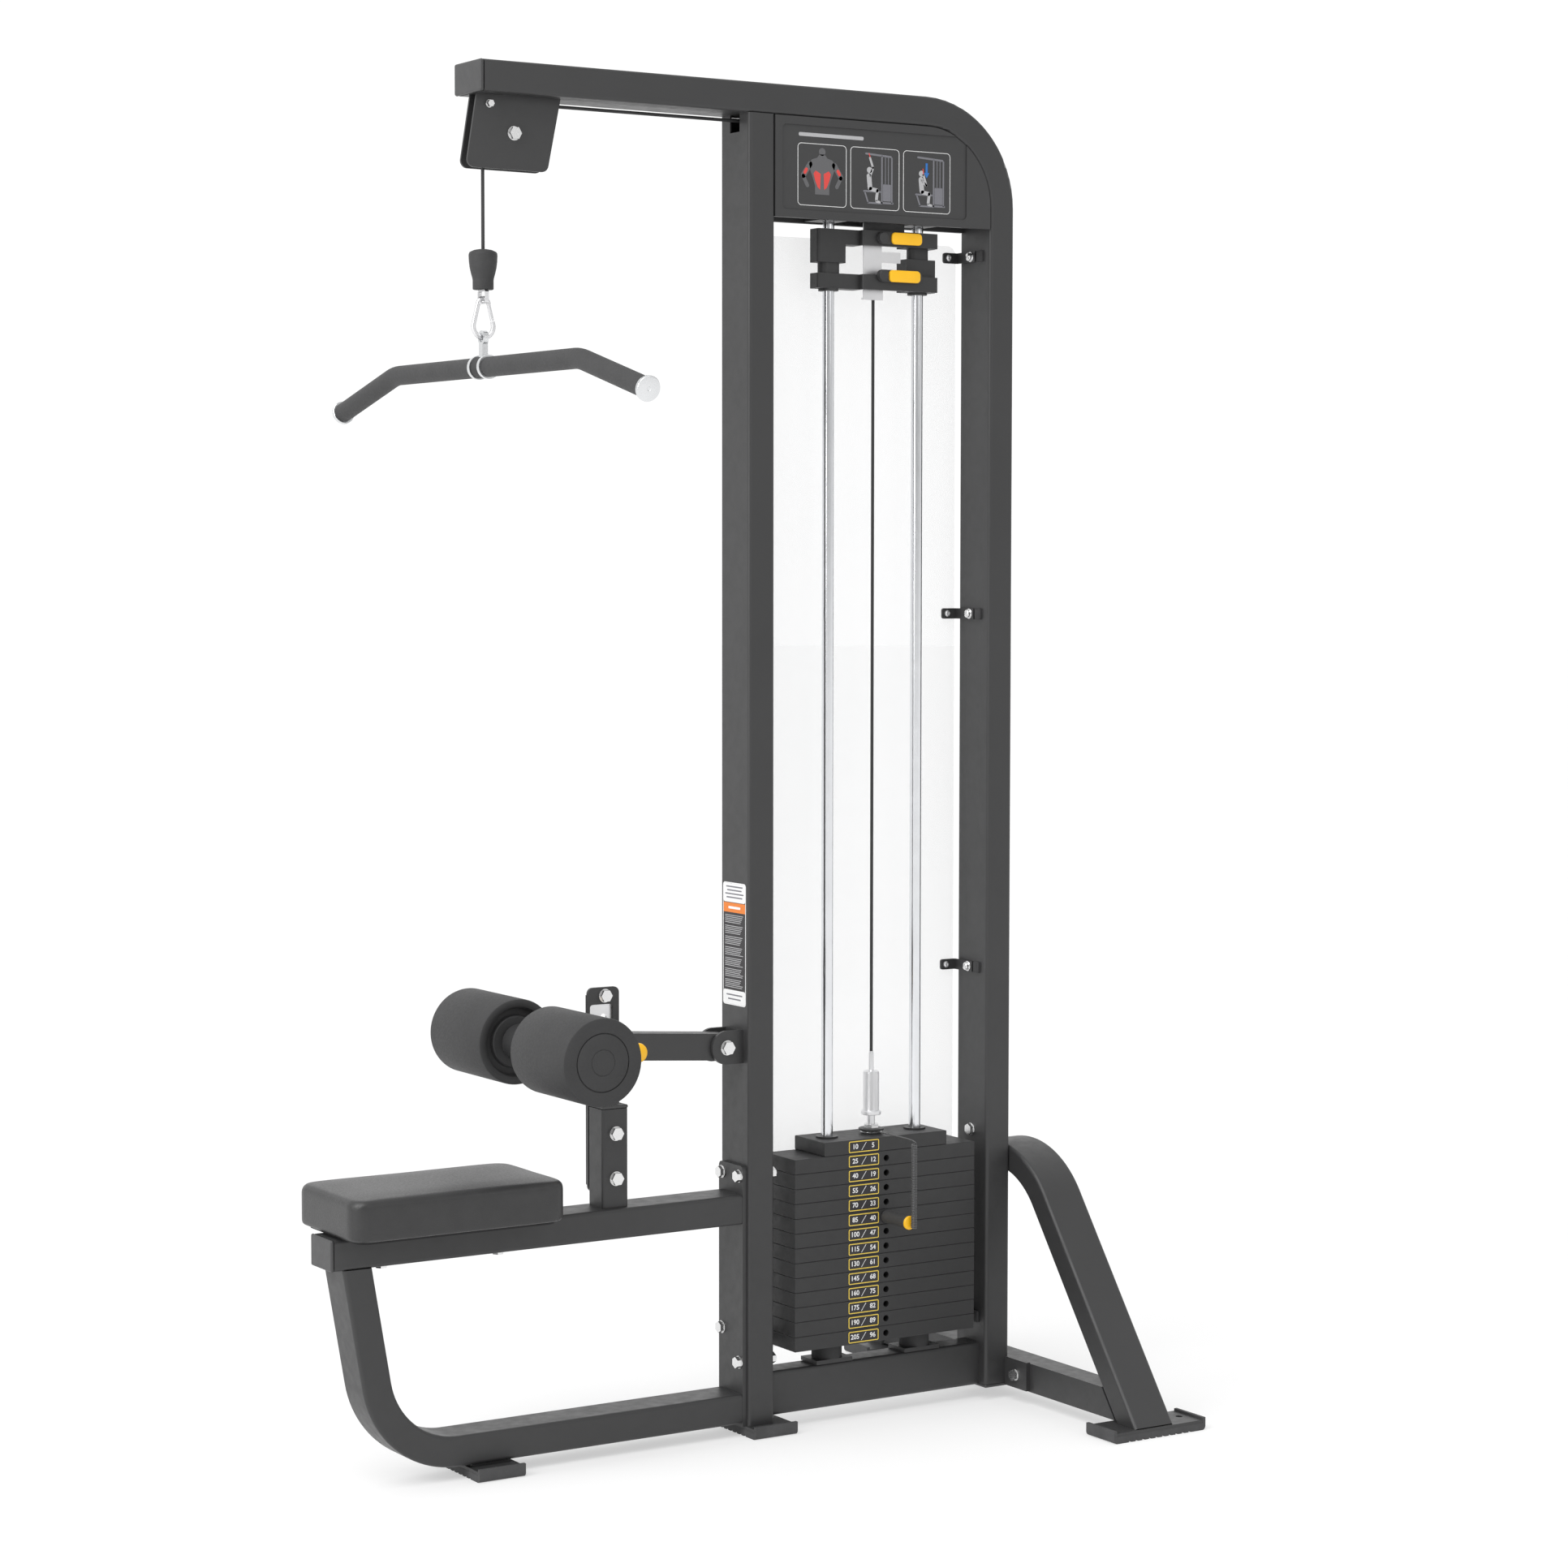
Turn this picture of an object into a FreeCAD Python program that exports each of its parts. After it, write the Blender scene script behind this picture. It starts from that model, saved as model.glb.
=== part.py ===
"""Lat pulldown machine: bent-tube frame, weight stack, cable drive, seat and thigh rollers.

Millimetres. X runs from the seat to the weight stack, Y across the machine, Z up.
The origin is on the floor under the centre of the front upright.
"""
import FreeCAD
import Part
import Sketcher
import math
import os
import re

Vector = FreeCAD.Vector
doc = FreeCAD.newDocument("LatPulldown")
sheet = doc.addObject("Spreadsheet::Sheet", "Sizes")
SIZES = {
    # main tubes
    "tube_wide": 90, "tube_deep": 50, "tube_wall": 3, "tube_round": 6,
    "frame_top": 2241, "beam_end": 509, "rear_x": 484, "bend_radius": 155,
    "foot_floor": 17.5, "upright_cap_z": 28, "cap_bulge": 8,
    "base_bottom": 25, "base_tall": 75, "base_wide": 50,
    # seat frame
    "seat_beam_top": 408, "seat_beam_tall": 50, "seat_beam_wide": 75, "seat_beam_end": 776,
    "leg_bottom": 22, "leg_top_x": 735.6, "leg_slope": 9.8, "leg_bend": 145,
    "back_plate": 8, "back_plate_wide": 76, "back_plate_top": 456,
    "pad_long": 378, "pad_wide": 220, "pad_thick": 67, "pad_right": 398, "board_thick": 12,
    # rear stabiliser
    "arch_deep": 80, "arch_tall": 45, "arch_radius": 157.5, "arch_slope": 36.2, "arch_top": 448,
    "cross_deep": 50, "cross_bottom": 22, "ear_long": 63,
    # feet
    "shoe_rim": 21.5, "foot_long": 140, "foot_wide": 83, "foot_plate_thick": 5.5,
    "rear_foot_long": 193, "rear_foot_wide": 77, "rear_foot_x": 558.5, "rear_foot_y": 369.5,
    "front_foot_x": 14.5, "seat_foot_x": 500.5, "anchor_radius": 6, "anchor_side": 55,
    "rear_anchor_x": 630.6, "rear_anchor_y": 367.4,
    # stack
    "stack_x": 248.5, "rod_spacing": 180, "rod_radius": 10, "stack_bottom": 132.8,
    "plate_long": 368, "plate_deep": 95, "plate_thick": 25, "plate_pitch": 25.1,
    "top_plate_long": 250, "top_plate_thick": 24, "selector_radius": 12.4, "pin_radius": 4.8,
    "rod_top": 2040, "bumper_radius": 26, "flange_thick": 7,
    # cable and pulleys
    "cable_radius": 2.75, "pulley_radius": 48.5, "pulley_flange": 53, "pulley_wide": 16,
    "pulley_z": 2132.5, "front_pulley_x": 441.5, "bracket_gap": 18, "bracket_plate": 4,
    "axle_radius": 6, "fitting_top": 624.5, "stopper_top": 1950,
    # bar
    "bar_z": 1765, "bar_bend_y": 313, "bar_end_y": 513.5, "bar_end_z": 1712,
    "bar_tube_radius": 12.5, "grip_radius": 16,
    # thigh rollers
    "pivot_x": 56, "pivot_z": 655, "arm_tilt": 4.25, "arm_reach": 351, "arm_tall": 45,
    "arm_wide": 38, "pin_reach": 211.6, "roller_radius": 70, "roller_long": 178,
    "roller_start": 52, "post_x": 267.5, "post_deep": 50, "post_wide": 50, "post_top": 570,
    # covers and add-on weights
    "sign_bottom": 2025, "sign_thick": 10,
    "shroud_bottom": 122, "shroud_top": 2003, "shroud_y": 52.2,
    "addon_half": 119.5, "addon_deep": 30, "addon_arm": 25,
}
for row, (alias, number) in enumerate(SIZES.items(), start=1):
    sheet.set(f"A{row}", alias)
    sheet.set(f"B{row}", str(number))
    sheet.setAlias(f"B{row}", alias)
doc.recompute()

PLATE_COUNT = 13
LIFTED_PLATES = 5
nodes = []


# ---------------------------------------------------------------- helpers
def linked(text):
    """An expression on the sheet's aliases, written with bare names, or a plain number."""
    return re.sub(r"[a-z]\w+", lambda found: "Sizes." + found.group(0)
                  if found.group(0) in SIZES else found.group(0), str(text))


def value(text):
    return float(sheet.evalExpression(linked(text)))


def bind(item, **properties):
    for name, text in properties.items():
        item.setExpression(name.replace("__", "."), linked(text))


def place(item, x, y, z):
    bind(item, Placement__Base__x=x, Placement__Base__y=y, Placement__Base__z=z)


def turn(item, axis, angle):
    item.Placement = FreeCAD.Placement(Vector(), FreeCAD.Rotation(Vector(*axis), angle))


def box(x0, x1, y0, y1, z0, z1):
    """Part::Box between two opposite corners, all six given as expressions."""
    item = doc.addObject("Part::Box", "Block")
    bind(item, Length=f"({x1}) - ({x0})", Width=f"({y1}) - ({y0})", Height=f"({z1}) - ({z0})")
    place(item, x0, y0, z0)
    return item


def rod(axis, x, y, z, radius, length):
    """Part::Cylinder that starts at a point and runs along +X, +Y or +Z."""
    item = doc.addObject("Part::Cylinder", "Round")
    bind(item, Radius=radius, Height=length)
    aim(item, axis)
    place(item, x, y, z)
    return item


def cone(x, y, z, low_radius, high_radius, length):
    item = doc.addObject("Part::Cone", "Taper")
    bind(item, Radius1=low_radius, Radius2=high_radius, Height=length)
    place(item, x, y, z)
    return item


def hexagon(axis, x, y, z, across_flats, length):
    item = doc.addObject("Part::Prism", "Hexagon")
    item.Polygon = 6
    bind(item, Circumradius=f"({across_flats}) / sqrt(3)", Height=length)
    aim(item, axis)
    place(item, x, y, z)
    return item


def aim(item, axis):
    if axis == "x":
        turn(item, (0, 1, 0), 90)
    elif axis == "y":
        turn(item, (1, 0, 0), -90)


def fuse(*parts):
    item = doc.addObject("Part::MultiFuse", "Joined")
    item.Shapes = list(parts)
    return item


def group(*parts):
    """Separate solids that share one node."""
    item = doc.addObject("Part::Compound", "Group")
    item.Links = list(parts)
    return item


def cut(base, *tools):
    item = doc.addObject("Part::Cut", "Cut")
    item.Base = base
    item.Tool = tools[0] if len(tools) == 1 else fuse(*tools)
    return item


def rounded(base, radius, chosen):
    """Part::Fillet on the edges for which chosen(edge) is true."""
    doc.recompute()
    item = doc.addObject("Part::Fillet", "Rounded")
    item.Base = base
    item.Edges = [(number, radius, radius) for number, edge in enumerate(base.Shape.Edges, start=1)
                  if chosen(edge)]
    return item


def along(direction):
    """True for straight edges in one direction, for rounded()."""
    wanted = Vector(*direction)

    def chosen(edge):
        return edge.Curve.TypeId == "Part::GeomLine" and abs(edge.Curve.Direction.dot(wanted)) > 0.999
    return chosen


def node(label, item):
    item.Label = label
    nodes.append(item)
    return item


# ---------------------------------------------------------------- sketches
def sketch_on(body, role, offset="0"):
    sketch = body.newObject("Sketcher::SketchObject", "Sketch")
    plane = next(item for item in body.Origin.OriginFeatures if item.Role == role)
    sketch.AttachmentSupport = [(plane, "")]
    sketch.MapMode = "FlatFace"
    bind(sketch, AttachmentOffset__Base__z=offset)
    return sketch


def dimension(sketch, kind, *where, size):
    """A distance, radius or angle constraint bound to the sheet."""
    number = sketch.addConstraint(Sketcher.Constraint(kind, *where, size_of(kind, size)))
    sketch.setExpression(f"Constraints[{number}]", angle_or_length(kind, size))


def size_of(kind, text):
    return math.radians(value(text)) if kind == "Angle" else value(text)


def angle_or_length(kind, text):
    return f"({linked(text)}) * 1 deg" if kind == "Angle" else linked(text)


def pin_point(sketch, where, x, y):
    dimension(sketch, "DistanceX", -1, 1, *where, size=x)
    dimension(sketch, "DistanceY", -1, 1, *where, size=y)


def polygon(sketch, points):
    """Closed outline of straight lines; every corner is bound to the sheet."""
    corners = [Vector(value(x), value(y), 0) for x, y in points]
    first = sketch.GeometryCount
    for start, end in zip(corners, corners[1:] + corners[:1]):
        sketch.addGeometry(Part.LineSegment(start, end), False)
    for number, (x, y) in enumerate(points):
        before = first + (number - 1) % len(points)
        sketch.addConstraint(Sketcher.Constraint("Coincident", before, 2, first + number, 1))
        pin_point(sketch, (first + number, 1), x, y)


def round_rectangle(sketch, left, bottom, wide, tall, corner):
    """Rectangle with four equal corner arcs."""
    x0, y0, r = value(left), value(bottom), value(corner)
    x1, y1 = x0 + value(wide), y0 + value(tall)
    first = sketch.GeometryCount
    sides = [((x0 + r, y0), (x1 - r, y0)), ((x1, y0 + r), (x1, y1 - r)),
             ((x1 - r, y1), (x0 + r, y1)), ((x0, y1 - r), (x0, y0 + r))]
    centres = [(x1 - r, y0 + r), (x1 - r, y1 - r), (x0 + r, y1 - r), (x0 + r, y0 + r)]
    for quarter, (side, centre) in enumerate(zip(sides, centres)):
        sketch.addGeometry(Part.LineSegment(Vector(*side[0], 0), Vector(*side[1], 0)), False)
        circle = Part.Circle(Vector(*centre, 0), Vector(0, 0, 1), r)
        start = (quarter - 1) * math.pi / 2
        sketch.addGeometry(Part.ArcOfCircle(circle, start, start + math.pi / 2), False)
    for quarter in range(4):
        line, arc, following = first + 2 * quarter, first + 2 * quarter + 1, first + (2 * quarter + 2) % 8
        sketch.addConstraint(Sketcher.Constraint("Tangent", line, 2, arc, 1))
        sketch.addConstraint(Sketcher.Constraint("Tangent", arc, 2, following, 1))
        sketch.addConstraint(Sketcher.Constraint("Horizontal" if quarter % 2 == 0 else "Vertical", line))
        if quarter:
            sketch.addConstraint(Sketcher.Constraint("Equal", first + 1, arc))
    dimension(sketch, "Radius", first + 1, size=corner)
    dimension(sketch, "DistanceX", -1, 1, first + 6, 1, size=left)
    dimension(sketch, "DistanceX", first + 6, 1, first + 2, 1, size=wide)
    dimension(sketch, "DistanceY", -1, 1, first, 1, size=bottom)
    dimension(sketch, "DistanceY", first, 1, first + 4, 1, size=tall)


def tube_section(sketch, left, bottom, wide, tall):
    round_rectangle(sketch, left, bottom, wide, tall, "tube_round")
    round_rectangle(sketch, f"{left} + tube_wall", f"{bottom} + tube_wall", f"{wide} - 2 * tube_wall",
                    f"{tall} - 2 * tube_wall", "tube_round - tube_wall")


def pad(body, sketch, length, reverse=False):
    feature = body.newObject("PartDesign::Pad", "Pad")
    feature.Profile = sketch
    feature.Reversed = reverse
    bind(feature, Length=length)
    return feature


def straight_tube(role, offset, left, bottom, wide, tall, length):
    """Hollow tube from a section on one origin plane."""
    body = doc.addObject("PartDesign::Body", "Tube")
    sketch = sketch_on(body, role, offset)
    tube_section(sketch, left, bottom, wide, tall)
    pad(body, sketch, length)
    return body


def swept(body, section, path):
    feature = body.newObject("PartDesign::AdditivePipe", "Pipe")
    feature.Profile = section
    feature.Spine = (path, [])
    return feature


# ---------------------------------------------------------------- fasteners
def bolt(axis, x, y, z, grip, radius="5", flats="17", nut=True):
    """Hex bolt: head below the start point, shank through the grip, nut beyond it."""
    head, washer = 7, 1.5
    shift = {"x": (1, 0, 0), "y": (0, 1, 0), "z": (0, 0, 1)}[axis]

    def at(distance):
        return [f"({base}) + {step} * ({distance})" for base, step in zip((x, y, z), shift)]
    pieces = [hexagon(axis, *at(-head - washer), flats, head),
              rod(axis, *at(-washer), f"{flats} * 0.62", washer),
              rod(axis, *at(-washer), radius, f"{grip} + {14 if nut else washer}")]
    if nut:
        pieces += [rod(axis, *at(grip), f"{flats} * 0.62", washer),
                   hexagon(axis, *at(f"{grip} + {washer}"), flats, "8")]
    return fuse(*pieces)


def bolt_hole(axis, x, y, z, length, radius="5.1"):
    return rod(axis, x, y, z, radius, length)


# ---------------------------------------------------------------- frame
UPRIGHT_BOLTS = [(27.4, 438.6), (-27.4, 438.6), (27.4, 175), (-27.4, 125)]
CLIP_HEIGHTS = [144.5, 757, 1369.5, 1982]
EAR_BOLT = (76, 47)
TAB_BOLT_Z = 472


def front_upright():
    tube = straight_tube("XY_Plane", "foot_floor", "-tube_deep / 2", "-tube_wide / 2", "tube_deep",
                         "tube_wide", "frame_top - tube_deep - foot_floor")
    slot = box("-tube_deep", "tube_deep", "-15", "15", "2162", "frame_top")
    holes = [bolt_hole("x", "-60", y, z, 120) for y, z in UPRIGHT_BOLTS]
    return node("front_upright", cut(tube, slot, *holes))


def main_tube():
    """Rear upright, bend and top beam in one sweep, with the two ears at its foot."""
    body = doc.addObject("PartDesign::Body", "MainTube")
    path = sketch_on(body, "XZ_Plane")
    r, x, top = value("bend_radius"), value("rear_x"), value("frame_top - tube_deep / 2")
    low, end = value("upright_cap_z"), -value("beam_end")
    path.addGeometry(Part.LineSegment(Vector(x, low, 0), Vector(x, top - r, 0)), False)
    circle = Part.Circle(Vector(x - r, top - r, 0), Vector(0, 0, 1), r)
    path.addGeometry(Part.ArcOfCircle(circle, 0, math.pi / 2), False)
    path.addGeometry(Part.LineSegment(Vector(x - r, top, 0), Vector(end, top, 0)), False)
    path.addConstraint(Sketcher.Constraint("Tangent", 0, 2, 1, 1))
    path.addConstraint(Sketcher.Constraint("Tangent", 1, 2, 2, 1))
    path.addConstraint(Sketcher.Constraint("Vertical", 0))
    path.addConstraint(Sketcher.Constraint("Horizontal", 2))
    dimension(path, "Radius", 1, size="bend_radius")
    pin_point(path, (0, 1), "rear_x", "upright_cap_z")
    pin_point(path, (2, 2), "-beam_end", "frame_top - tube_deep / 2")
    section = sketch_on(body, "XY_Plane", "upright_cap_z")
    tube_section(section, "rear_x - tube_deep / 2", "-tube_wide / 2", "tube_deep", "tube_wide")
    swept(body, section, path)
    side = "tube_wide / 2"
    back = "rear_x + tube_deep / 2"
    ears = [box(f"{back} - back_plate", back, low_y, high_y, "cross_bottom + 2", "cross_bottom + 52")
            for low_y, high_y in ((side, f"{side} + ear_long"), (f"-{side} - ear_long", f"-{side}"))]
    holes = [bolt_hole("x", 440, y, EAR_BOLT[1], 80) for y in (EAR_BOLT[0], -EAR_BOLT[0])]
    holes.append(bolt_hole("x", 440, 0, TAB_BOLT_Z, 80))
    holes += [rod("z", "-front_pulley_x", y, "frame_top - tube_deep - 5", "3.1", "12") for y in (-30, 30)]
    return node("main_tube", cut(fuse(body, *ears), *holes))


def base_beam():
    return node("base_beam", straight_tube("YZ_Plane", "tube_deep / 2", "-base_wide / 2", "base_bottom",
                                           "base_wide", "base_tall", "rear_x - tube_deep"))


def tube_end_caps():
    """Bulged plastic caps: beam end, rear upright foot, seat beam end and roller post top."""
    def softened(item, radius):
        return rounded(item, radius, lambda edge: True)
    half = "tube_wide / 2"
    beam = softened(box("-beam_end - cap_bulge", "-beam_end", f"-{half}", half,
                        "frame_top - tube_deep", "frame_top"), 3.9)
    foot = softened(box("rear_x - tube_deep / 2", "rear_x + tube_deep / 2", f"-{half}", half,
                        "upright_cap_z - 6", "upright_cap_z"), 2.9)
    seat = softened(box("-seat_beam_end - 6", "-seat_beam_end", "-seat_beam_wide / 2",
                        "seat_beam_wide / 2", "seat_beam_top - seat_beam_tall", "seat_beam_top"), 2.9)
    post = softened(box("-post_x - post_deep / 2 + 1", "-post_x + post_deep / 2 - 1",
                        "-post_wide / 2", "post_wide / 2", "post_top", "post_top + 6"), 2.9)
    return node("tube_end_caps", group(beam, foot, seat, post))


def seat_back_plate():
    left, right = "-tube_deep / 2 - back_plate", "-tube_deep / 2"
    plate = box(left, right, "-back_plate_wide / 2", "back_plate_wide / 2", "foot_floor", "back_plate_top")
    plate = rounded(plate, 8, lambda edge: along((1, 0, 0))(edge) and edge.CenterOfMass.z > 400)
    holes = [bolt_hole("x", "-60", y, z, 60) for y, z in UPRIGHT_BOLTS]
    return node("seat_back_plate", cut(plate, *holes))


SEAT_BOLTS_X = [-678, -471]
POST_BOLTS_Z = [530, 456]


def seat_beam():
    tube = straight_tube("YZ_Plane", "-seat_beam_end", "-seat_beam_wide / 2",
                         "seat_beam_top - seat_beam_tall", "seat_beam_wide", "seat_beam_tall",
                         "seat_beam_end - tube_deep / 2 - back_plate")
    holes = [bolt_hole("z", x, 0, 350, 70) for x in SEAT_BOLTS_X]
    return node("seat_beam", cut(tube, *holes))


def seat_leg_tube():
    """Floor tube that bends up into the sloping leg under the seat beam."""
    body = doc.addObject("PartDesign::Body", "SeatLeg")
    path = sketch_on(body, "XZ_Plane")
    r, slope = value("leg_bend"), math.radians(value("leg_slope"))
    start = Vector(-value("tube_deep / 2 + back_plate"), value("leg_bottom") + 25, 0)
    top = Vector(-value("leg_top_x") - 20 * math.tan(slope), 378, 0)
    centre_z = start.y + r
    centre_x = top.x + (top.y - centre_z) * math.tan(slope) + r / math.cos(slope)
    end_angle = math.pi - slope
    leg_foot = Vector(centre_x + r * math.cos(end_angle + 2 * slope),
                      centre_z + r * math.sin(-slope), 0)
    path.addGeometry(Part.LineSegment(start, Vector(centre_x, start.y, 0)), False)
    circle = Part.Circle(Vector(centre_x, centre_z, 0), Vector(0, 0, 1), r)
    path.addGeometry(Part.ArcOfCircle(circle, math.pi + slope, 1.5 * math.pi), False)
    path.addGeometry(Part.LineSegment(leg_foot, top), False)
    path.addConstraint(Sketcher.Constraint("Tangent", 0, 2, 1, 2))
    path.addConstraint(Sketcher.Constraint("Tangent", 1, 1, 2, 1))
    path.addConstraint(Sketcher.Constraint("Horizontal", 0))
    dimension(path, "Radius", 1, size="leg_bend")
    pin_point(path, (0, 1), "-tube_deep / 2 - back_plate", "leg_bottom + 25")
    pin_point(path, (2, 2), "-leg_top_x - 20 * tan(leg_slope * 1 deg)", "378")
    dimension(path, "Angle", -1, 1, 2, 1, size="90 + leg_slope")
    section = sketch_on(body, "YZ_Plane", "-tube_deep / 2 - back_plate")
    tube_section(section, "-seat_beam_wide / 2", "leg_bottom", "seat_beam_wide", "tube_deep")
    swept(body, section, path)
    above = box("-leg_top_x - 100", "-leg_top_x + 100", "-60", "60",
                "seat_beam_top - seat_beam_tall", "seat_beam_top + 40")
    return node("seat_leg_tube", cut(body, above))


def rear_arch():
    """Arch behind the rear upright: half of it swept, mirrored, and cut at foot level."""
    body = doc.addObject("PartDesign::Body", "Arch")
    path = sketch_on(body, "YZ_Plane", "rear_x + tube_deep / 2 + arch_deep / 2")
    r, slope = value("arch_radius"), math.radians(value("arch_slope"))
    centre = Vector(0, value("arch_top - arch_tall / 2") - r, 0)
    turn_end = centre + Vector(-r * math.cos(slope), r * math.sin(slope), 0)
    foot = turn_end + Vector(-math.sin(slope), -math.cos(slope), 0) * 440
    path.addGeometry(Part.ArcOfCircle(Part.Circle(centre, Vector(0, 0, 1), r),
                                      math.pi / 2, math.pi - slope), False)
    path.addGeometry(Part.LineSegment(turn_end, foot), False)
    path.addConstraint(Sketcher.Constraint("Tangent", 0, 2, 1, 1))
    dimension(path, "Radius", 0, size="arch_radius")
    pin_point(path, (0, 1), "0", "arch_top - arch_tall / 2")
    dimension(path, "DistanceX", -1, 1, 0, 3, size="0")
    dimension(path, "Distance", 1, size="440")
    dimension(path, "Angle", -1, 1, 1, 1, size="270 - arch_slope")
    section = sketch_on(body, "XZ_Plane")
    tube_section(section, "rear_x + tube_deep / 2", "arch_top - arch_tall", "arch_deep", "arch_tall")
    half = swept(body, section, path)
    mirror = body.newObject("PartDesign::Mirrored", "Mirror")
    mirror.Originals = [half]
    plane = next(item for item in body.Origin.OriginFeatures if item.Role == "XZ_Plane")
    mirror.MirrorPlane = (plane, [""])
    body.Tip = mirror
    floor = box("400", "700", "-600", "600", "-300", "foot_floor")
    back = "rear_x + tube_deep / 2"
    tab = box(back, f"{back} + back_plate", "-25", "25", "arch_top - 1", "arch_top + 46")
    tab_hole = bolt_hole("x", 440, 0, TAB_BOLT_Z, 120)
    return node("rear_arch", cut(fuse(cut(body, floor), tab), tab_hole))


def rear_cross_tube():
    """Tube between the arch's legs, with its ends cut to their slope."""
    body = doc.addObject("PartDesign::Body", "CrossTube")
    back = "rear_x + tube_deep / 2"
    outline = sketch_on(body, "YZ_Plane", back)
    low, high = "cross_bottom", "cross_bottom + cross_deep"
    reach = "(arch_radius - arch_tall / 2) / cos(arch_slope * 1 deg)"
    centre = "arch_top - arch_tall / 2 - arch_radius"
    bottom_y = f"({reach} + ({centre} - cross_bottom) * tan(arch_slope * 1 deg))"
    top_y = f"({reach} + ({centre} - cross_bottom - cross_deep) * tan(arch_slope * 1 deg))"
    polygon(outline, [(f"-{bottom_y}", low), (bottom_y, low), (top_y, high), (f"-{top_y}", high)])
    pad(body, outline, "cross_deep")
    hollow = box(f"{back} + tube_wall", f"{back} + cross_deep - tube_wall", "-500", "500",
                 "cross_bottom + tube_wall", "cross_bottom + cross_deep - tube_wall")
    holes = [bolt_hole("x", 440, y, EAR_BOLT[1], 160) for y in (EAR_BOLT[0], -EAR_BOLT[0])]
    return node("rear_cross_tube", cut(body, hollow, *holes))


# ---------------------------------------------------------------- feet
def feet():
    """Four feet: a steel plate lying in a ribbed rubber shoe with upturned ends."""
    plates, shoes = [], []
    layout = [("-seat_foot_x", "0", False), ("front_foot_x", "0", False),
              ("rear_foot_x", "-rear_foot_y", True), ("rear_foot_x", "rear_foot_y", True)]
    for x, y, lengthways in layout:
        long, wide = ("rear_foot_long", "rear_foot_wide") if lengthways else ("foot_long", "foot_wide")
        anchors = [("rear_anchor_x", "-rear_anchor_y" if y.startswith("-") else "rear_anchor_y")] \
            if lengthways else [(x, "-anchor_side"), (x, "anchor_side")]
        size_x, size_y = (long, wide) if lengthways else (wide, long)
        shoe = box(f"{x} - {size_x} / 2", f"{x} + {size_x} / 2", f"{y} - {size_y} / 2",
                   f"{y} + {size_y} / 2", "0", "shoe_rim")
        across = (0, 1, 0) if lengthways else (1, 0, 0)
        shoe = rounded(shoe, 7, lambda edge, way=across: along(way)(edge) and edge.CenterOfMass.z < 1)
        inner_x, inner_y = (f"{long} / 2 - 6", f"{wide} / 2 + 1") if lengthways \
            else (f"{wide} / 2 + 1", f"{long} / 2 - 6")
        room = box(f"{x} - ({inner_x})", f"{x} + {inner_x}", f"{y} - ({inner_y})", f"{y} + {inner_y}",
                   "foot_floor - foot_plate_thick", "shoe_rim + 1")
        grooves = foot_grooves(x, y, lengthways, value(long))
        holes = [rod("z", hole_x, hole_y, -1, "anchor_radius", 40) for hole_x, hole_y in anchors]
        shoes.append(cut(shoe, room, *grooves, *holes))
        less = 0.3
        flat_x, flat_y = (f"{long} / 2 - 6 - {less}", f"{wide} / 2 - {less}") if lengthways \
            else (f"{wide} / 2 - {less}", f"{long} / 2 - 6 - {less}")
        plate = box(f"{x} - ({flat_x})", f"{x} + {flat_x}", f"{y} - ({flat_y})", f"{y} + {flat_y}",
                    "foot_floor - foot_plate_thick", "foot_floor")
        if x == "-seat_foot_x":
            plate = fuse(plate, box(f"{x} - 35", f"{x} + 35", -30, 30, "foot_floor - 1", "leg_bottom"))
        holes = [rod("z", hole_x, hole_y, -1, "anchor_radius", 40) for hole_x, hole_y in anchors]
        plates.append(cut(plate, *holes))
    node("foot_plates", group(*plates))
    node("foot_shoes", group(*shoes))


def foot_grooves(x, y, lengthways, long):
    """Half-round grooves across the sole, spaced along the foot and clear of its middle."""
    pitch, radius = 14, 3
    count = int((long / 2 - 18) // pitch)
    grooves = []
    for step in [number + 0.5 for number in range(-count, count)]:
        if lengthways:
            grooves.append(rod("y", f"{x} + {step * pitch}", f"{y} - 60", 0, radius, 120))
        else:
            grooves.append(rod("x", f"{x} - 60", f"{y} + {step * pitch}", 0, radius, 120))
    return grooves


# ---------------------------------------------------------------- weight stack
def rods_x():
    return ["stack_x - rod_spacing / 2", "stack_x + rod_spacing / 2"]


def plate_z(number):
    """Underside of a stack plate; number 1 is the uppermost of the thirteen."""
    return f"stack_bottom + {PLATE_COUNT - number} * plate_pitch"


def guide_rods():
    return node("guide_rods", group(*[rod("z", x, 0, "base_bottom + base_tall", "rod_radius",
                                          "rod_top - base_bottom - base_tall") for x in rods_x()]))


def rod_end_holders():
    """Top hangers that hold the rods under the beam, and the flanges on the base beam."""
    pieces = []
    low = "base_bottom + base_tall"
    for x in rods_x():
        floor = box(f"{x} - 28", f"{x} + 28", -33, 33, 2027, 2040)
        sides = [box(f"{x} - 28", f"{x} + 6", near, near + 5, 2027, "frame_top - tube_deep - 1")
                 for near in (-33, 28)]
        pieces.append(cut(fuse(floor, *sides), rod("z", x, 0, 2000, "rod_radius + 0.05", 60)))
        flange = box(f"{x} - 36", f"{x} + 36", -25, 25, low, f"{low} + flange_thick")
        pieces.append(cut(flange, rod("z", x, 0, 90, "rod_radius + 0.05", 40)))
    return node("rod_end_holders", group(*pieces))


def stack_bumpers():
    low = "base_bottom + base_tall + flange_thick"
    rings = []
    for x in rods_x():
        ring = rod("z", x, 0, low, "bumper_radius", f"stack_bottom - 0.2 - ({low})")
        rings.append(cut(ring, rod("z", x, 0, 90, "rod_radius + 0.3", 60)))
    return node("stack_bumpers", group(*rings))


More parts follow.
